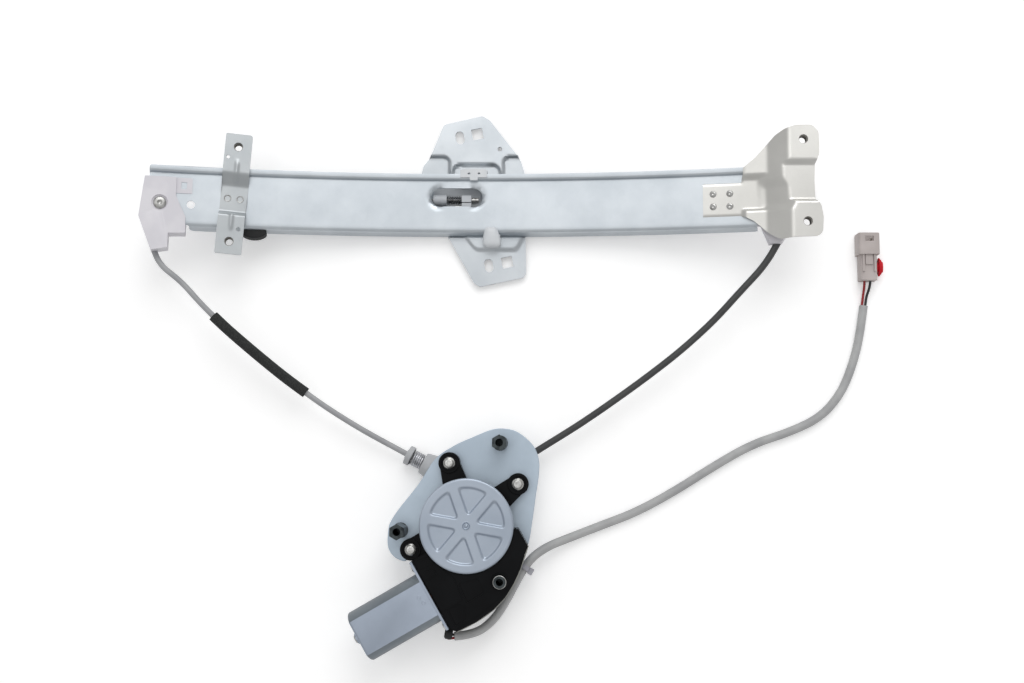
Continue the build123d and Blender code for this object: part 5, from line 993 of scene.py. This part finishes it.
def housing_details(bm):
    """What stands on the housing's top: the brush cover, a ring round the tube and one on each lug."""
    add_prism(bm, softened([(-42.6, 18.8), (-42.6, -11.4), (-38.5, -12.0), (-26.2, -12.0), (-24.4, 2.4),
                            (-30.0, 17.5)], 1.5, 4), 8.2, 9.9, on_motor)
    add_prism(bm, softened([(-41.2, 16.0), (-41.2, 11.0), (-33.0, 11.0), (-33.0, 16.0)], 0.8, 3), 9.6, 10.5,
              on_motor)
    add_turned(bm, [(4.45, 8.2), (6.0, 8.2), (6.0, 9.9), (5.6, 10.3), (4.9, 10.3), (4.45, 9.9), (4.45, 8.2)],
               on_motor @ Matrix.Translation((1.1, -14.05, 0)))
    for x, y in screw_spots:
        add_turned(bm, [(5.2, 31.0), (7.1, 31.0), (7.1, 31.7), (6.8, 32.0), (5.5, 32.0), (5.2, 31.7),
                        (5.2, 31.0)],
                   Matrix.Translation((x, y, 0)))
        out, away = Vector((x, y)).normalized(), hypot(x, y)
        arm = [out * d + Vector((-out.y, out.x)) * w
               for d, w in ((away - 1, -6.9), (29.0, -8.6), (29.0, 8.6), (away - 1, 6.9))]
        add_prism(bm, [tuple(p) for p in arm], 22.4, 31.2)
    skirt = [(29.5, -2.5), (17.2, -13.8), (8.0, -20.2), (-1.0, -25.0), (-12.0, -28.2), (-26.0, -29.4),
             (-40.8, -28.4), (-40.8, -25.0), (-20.0, -24.0), (14.0, -11.0)]
    add_prism(bm, softened(skirt, [1, 12, 12, 12, 12, 12, 1.5, 1, 1, 1], 4), -3.0, 8.6, on_motor)


eased_form("gear_case", "gear_housing", housing_black, 0.35, housing_details)
# A pale grey cord along the housing's lower edge: a painted highlight where the rim's edge catches the light.
highlight_route = [(29.6, -2.9), (17.4, -14.1), (8.1, -20.6), (-1.0, -25.3), (-12.0, -28.5), (-26.0, -29.7),
        (-40.4, -28.7)]
new_piece("case_edge_painted_highlight", cord_curve("case_edge_painted_highlight", [tuple(on_motor @ Vector((*p, 8.1))) for p in highlight_route], 0.4),
          moulded("painted_highlight_grey", (142, 142, 136), (126, 126, 121), 0.5))
top_round = [(32.6 * cos(radians(a)), 29.2 + 32.6 * sin(radians(a))) for a in range(-31, -175, -6)]
top_cut = [(-42.6, 26.2), (-42.6, -24.0), (-40.7, -26.8), (-21.1, -26.0), (-0.1, -22.3), (16.1, -12.6),
           (28.6, -2.8), (28.6, 9.0), *top_round]
sunk_panels = [softened([(-23.4, -1.2), (-10.2, -4.9), (-11.0, -15.2), (-24.6, -15.6)], 1.2, 4),
               softened([(-38.2, -13.2), (-29.6, -13.2), (-26.6, -17.2), (-31.2, -25.0), (-38.9, -24.8)],
                        1.2, 4),
               disc(1.1, -14.05, 4.5)]
pressed_sheet("gear_case_top", top_cut, sunk_panels, lambda s, t: on_motor @ Vector((s, t, 9.2)), 1.3, 2.0,
              housing_black, edge=0.35)


# ---- gear cover ----
# The wheel's lid is pressed from zinc-plated sheet, with six sunk sectors and a dimple in the middle. Its
# rolled rim grips the pot over a rubber seal.

cover_top, sector_sink, cover_steps = 45.0, 1.4, 360


def beyond_sector(radius, angle):
    """How far a place on the cover is outside the nearest sunk sector."""
    turn = radians((angle - 80 + 30) % 60 - 30)
    along, over = radius * cos(turn), radius * sin(turn)
    side = abs(over) * cos(radians(30)) - along * sin(radians(30)) + 3.5
    return -soft_min(soft_min(-side, 25.5 - radius, 2.5), along - 8.4, 1.5)


def cover_level(radius, angle):
    level = cover_top - sector_sink * ramp(beyond_sector(radius, angle), 0.85, -0.85)
    level -= 1.1 * ramp(radius, 2.7, 1.7) - 0.8 * ramp(radius, 1.4, 0.5)
    return level + 0.12 * ramp(radius, 3.1, 2.5) * ramp(radius, 1.9, 2.3)


lid = bmesh.new()
domed = [(0.35 + 0.38 * k, 0.0) for k in range(80)] + [(30.8, 0.05), (31.2, 0.18), (31.6, 0.5), (31.8, 1.0)]
rings = [[(x, y, cover_level(radius, 360 * k / cover_steps) - drop)
          for k, (x, y) in enumerate(disc(0, 0, radius, cover_steps))] for radius, drop in domed]
rings += [[(x, y, height) for x, y in disc(0, 0, radius, cover_steps)]
          for radius, height in ((31.8, 42.3), (31.7, 42.2), (30.9, 42.2), (30.8, 42.4), (30.8, 43.9),
                                 (28.2, 43.9), (27.8, 42.9), (0.4, 42.9))]
add_walls(lid, rings)
finished("lid", lid, plated("cover_zinc", (178, 188, 201), (164, 175, 189), 0.4, metallic=0.75),
         0, 50, ["gear_cover"])
seal_rubber = moulded("seal_rubber", (24, 24, 25), (30, 30, 31), 0.7)
dress("gear_cover_seal", seal_rubber)


# ---- worm, wheel and damper ----
# The acetal wheel drives the output shaft through a rubber damper, and the hardened worm is cut on the
# armature's spindle.

gear_acetal = moulded("gear_acetal", (226, 222, 205), (216, 211, 192), 0.4)
dress("worm_wheel", gear_acetal)
dress("wheel_damper", seal_rubber)
dress("worm", turned_metal("worm_steel", (170, 169, 167), (128, 126, 122), 0.25))
dress("thrust_pad", gear_acetal)


# ---- motor can ----
# The motor's can is drawn in zinc-plated steel, round with two flats, and its flange is held to the housing
# by two screws. Two stakes near the flange hold the magnets, and a ball bearing cup closes the end.

def can_stakes(bm):
    for s, t in ((-50.5, 3.6), (-49.4, -0.8)):
        add_turned(bm, [(1.5, 12.3), (1.5, 12.75), (1.2, 12.9), (0.9, 12.9), (0.6, 12.65), (0, 12.6)],
                   on_motor @ Matrix.Translation((s, t, 0)), 20)


can = eased_form("can", "motor_can", plated("can_zinc", (172, 182, 197), (159, 169, 183), 0.34, metallic=0.8),
                 0.5, can_stakes)
# The can's curved sides, away from its flats, get a second and darker zinc: painted shade for the sides turned
# away from the light.
can.data.materials.append(plated("can_side_painted_shade", (134, 142, 148), (120, 127, 134), 0.38, metallic=0.8))
for polygon in can.data.polygons:
    spot = on_motor.inverted() @ (polygon.center / MM)
    if abs(polygon.normal.z) < 0.97 and spot.x < -48.0 and abs(spot.y) > 8.0:
        polygon.material_index = 1
along_can = Matrix.Rotation(radians(-90), 4, "Y")
cup = bmesh.new()
add_turned(cup, [(0, 100.6), (2.7, 100.8), (2.9, 101.2), (2.9, 102.5), (2.5, 103.1), (1.7, 103.3),
                 (0, 103.2)],
           on_motor @ along_can)
finished("end_cup", cup, rivet_steel)
cap_screws = bmesh.new()
cap_screw = [(1.9, 35.7), (1.9, 45.0), (2.9, 45.05), (2.9, 46.0), (2.5, 46.8), (2.0, 47.2),
             (1.05, 47.2, 0.5, 4), (0.9, 46.2, 0.45, 4)]
for t in (-22.0, 22.0):
    add_walls(cap_screws, [wheel_ring(*ring) for ring in cap_screw],
              on_motor @ Matrix.Translation((0, t, 0)) @ along_can)
finished("flange_screws", cap_screws, screw_steel, sharp=40, stands_for=["can_screws"])


# ---- inside the motor ----
# Two ferrite magnets in the can, and a wound armature on a ground spindle that runs in bronze bushes. Carbon
# brushes on springs bear on its copper commutator.

def sintered(name, colour, other, roughness, metallic=0.0):
    """Pressed powder: a dull, faintly speckled surface."""
    finish = Finish(name, roughness=roughness, metallic=metallic)
    speckles = finish.cloud(900, 4.0)
    finish.two_tone(speckles.above(0.42, 0.6), colour, other)
    finish.relief(speckles, 0.00003)
    return finish.material


dress("field_magnets", sintered("ferrite", (62, 62, 66), (48, 48, 52), 0.65))
dress("armature_shaft", shaft_steel)
dress("armature_core", sintered("core_stack", (140, 138, 134), (110, 106, 100), 0.5, 0.9))
dress("windings", turned_metal("enamelled_copper", (190, 108, 66), (150, 76, 44), 0.3))
dress("commutator", turned_metal("commutator_copper", (206, 136, 96), (176, 104, 68), 0.28))
dress("brush_holder", moulded("holder_phenolic", (58, 44, 36), (46, 35, 29), 0.5))
dress("brushes", sintered("brush_carbon", (44, 44, 46), (30, 30, 32), 0.7, 0.2))
dress("brush_springs", spring_wire)
dress("shaft_bushes", sintered("bush_bronze", (176, 138, 92), (150, 112, 72), 0.45, 0.9))


# ---- bench and light ----
# The unit lies on a white bench in a soft white tent, brighter overhead and toward the bench's far left. One
# large lamp stands high behind it. The bench glows faintly, for the camera alone.

floor_finish = Finish("bench_top", roughness=0.9)
speckle = floor_finish.cloud(40, 3.0)
floor_finish.two_tone(speckle.above(0.3, 0.7), (252, 252, 252), (254, 254, 254))
seen = floor_finish.node("ShaderNodeLightPath", {}, {})
floor_finish.feed(floor_finish.shader.inputs["Emission Color"],
                  floor_finish.mix(seen, (0, 0, 0, 1), (0.24, 0.24, 0.24, 1)))
floor_finish.shader.inputs["Emission Strength"].default_value = 1.0
bench = bmesh.new()
add_prism(bench, rectangle(-6000, -6000, 6000, 6000), -40.0, -0.3)
bench_top = added("bench", mesh_of("bench", bench))
bench_top.data.materials.append(floor_finish.material)

world = bpy.data.worlds.new("tent")
bpy.context.scene.world = world
world.use_nodes = True
tent = world.node_tree
surround = tent.nodes["Background"]
aim = set_up(tent.nodes.new("ShaderNodeVectorMath"), operation="DOT_PRODUCT")
aim.inputs[1].default_value = Vector((-0.22, 0.25, 0.94)).normalized()
tent.links.new(tent.nodes.new("ShaderNodeTexCoord").outputs["Generated"], aim.inputs[0])
shine = set_up(tent.nodes.new("ShaderNodeMapRange"), interpolation_type="SMOOTHSTEP")
for socket, value in (("From Min", 0.80), ("To Min", 0.55), ("To Max", 1.05)):
    shine.inputs[socket].default_value = value
tent.links.new(aim.outputs["Value"], shine.inputs["Value"])
tent.links.new(shine.outputs["Result"], surround.inputs["Strength"])
surround.inputs["Color"].default_value = (1.0, 1.0, 1.0, 1.0)

lamp = added("lamp", set_up(bpy.data.lights.new("lamp", "AREA"), shape="DISK", size=1.4, energy=11.0))
lamp_spot = Vector((0.25, 1.35, 1.3))
lamp_line = lamp_spot - Vector((0, 0.08, 0))
lamp.matrix_world = Matrix.LocRotScale(lamp_spot, lamp_line.to_track_quat("Z", "Y"), None)
bpy.context.scene.view_settings.view_transform = "Standard"
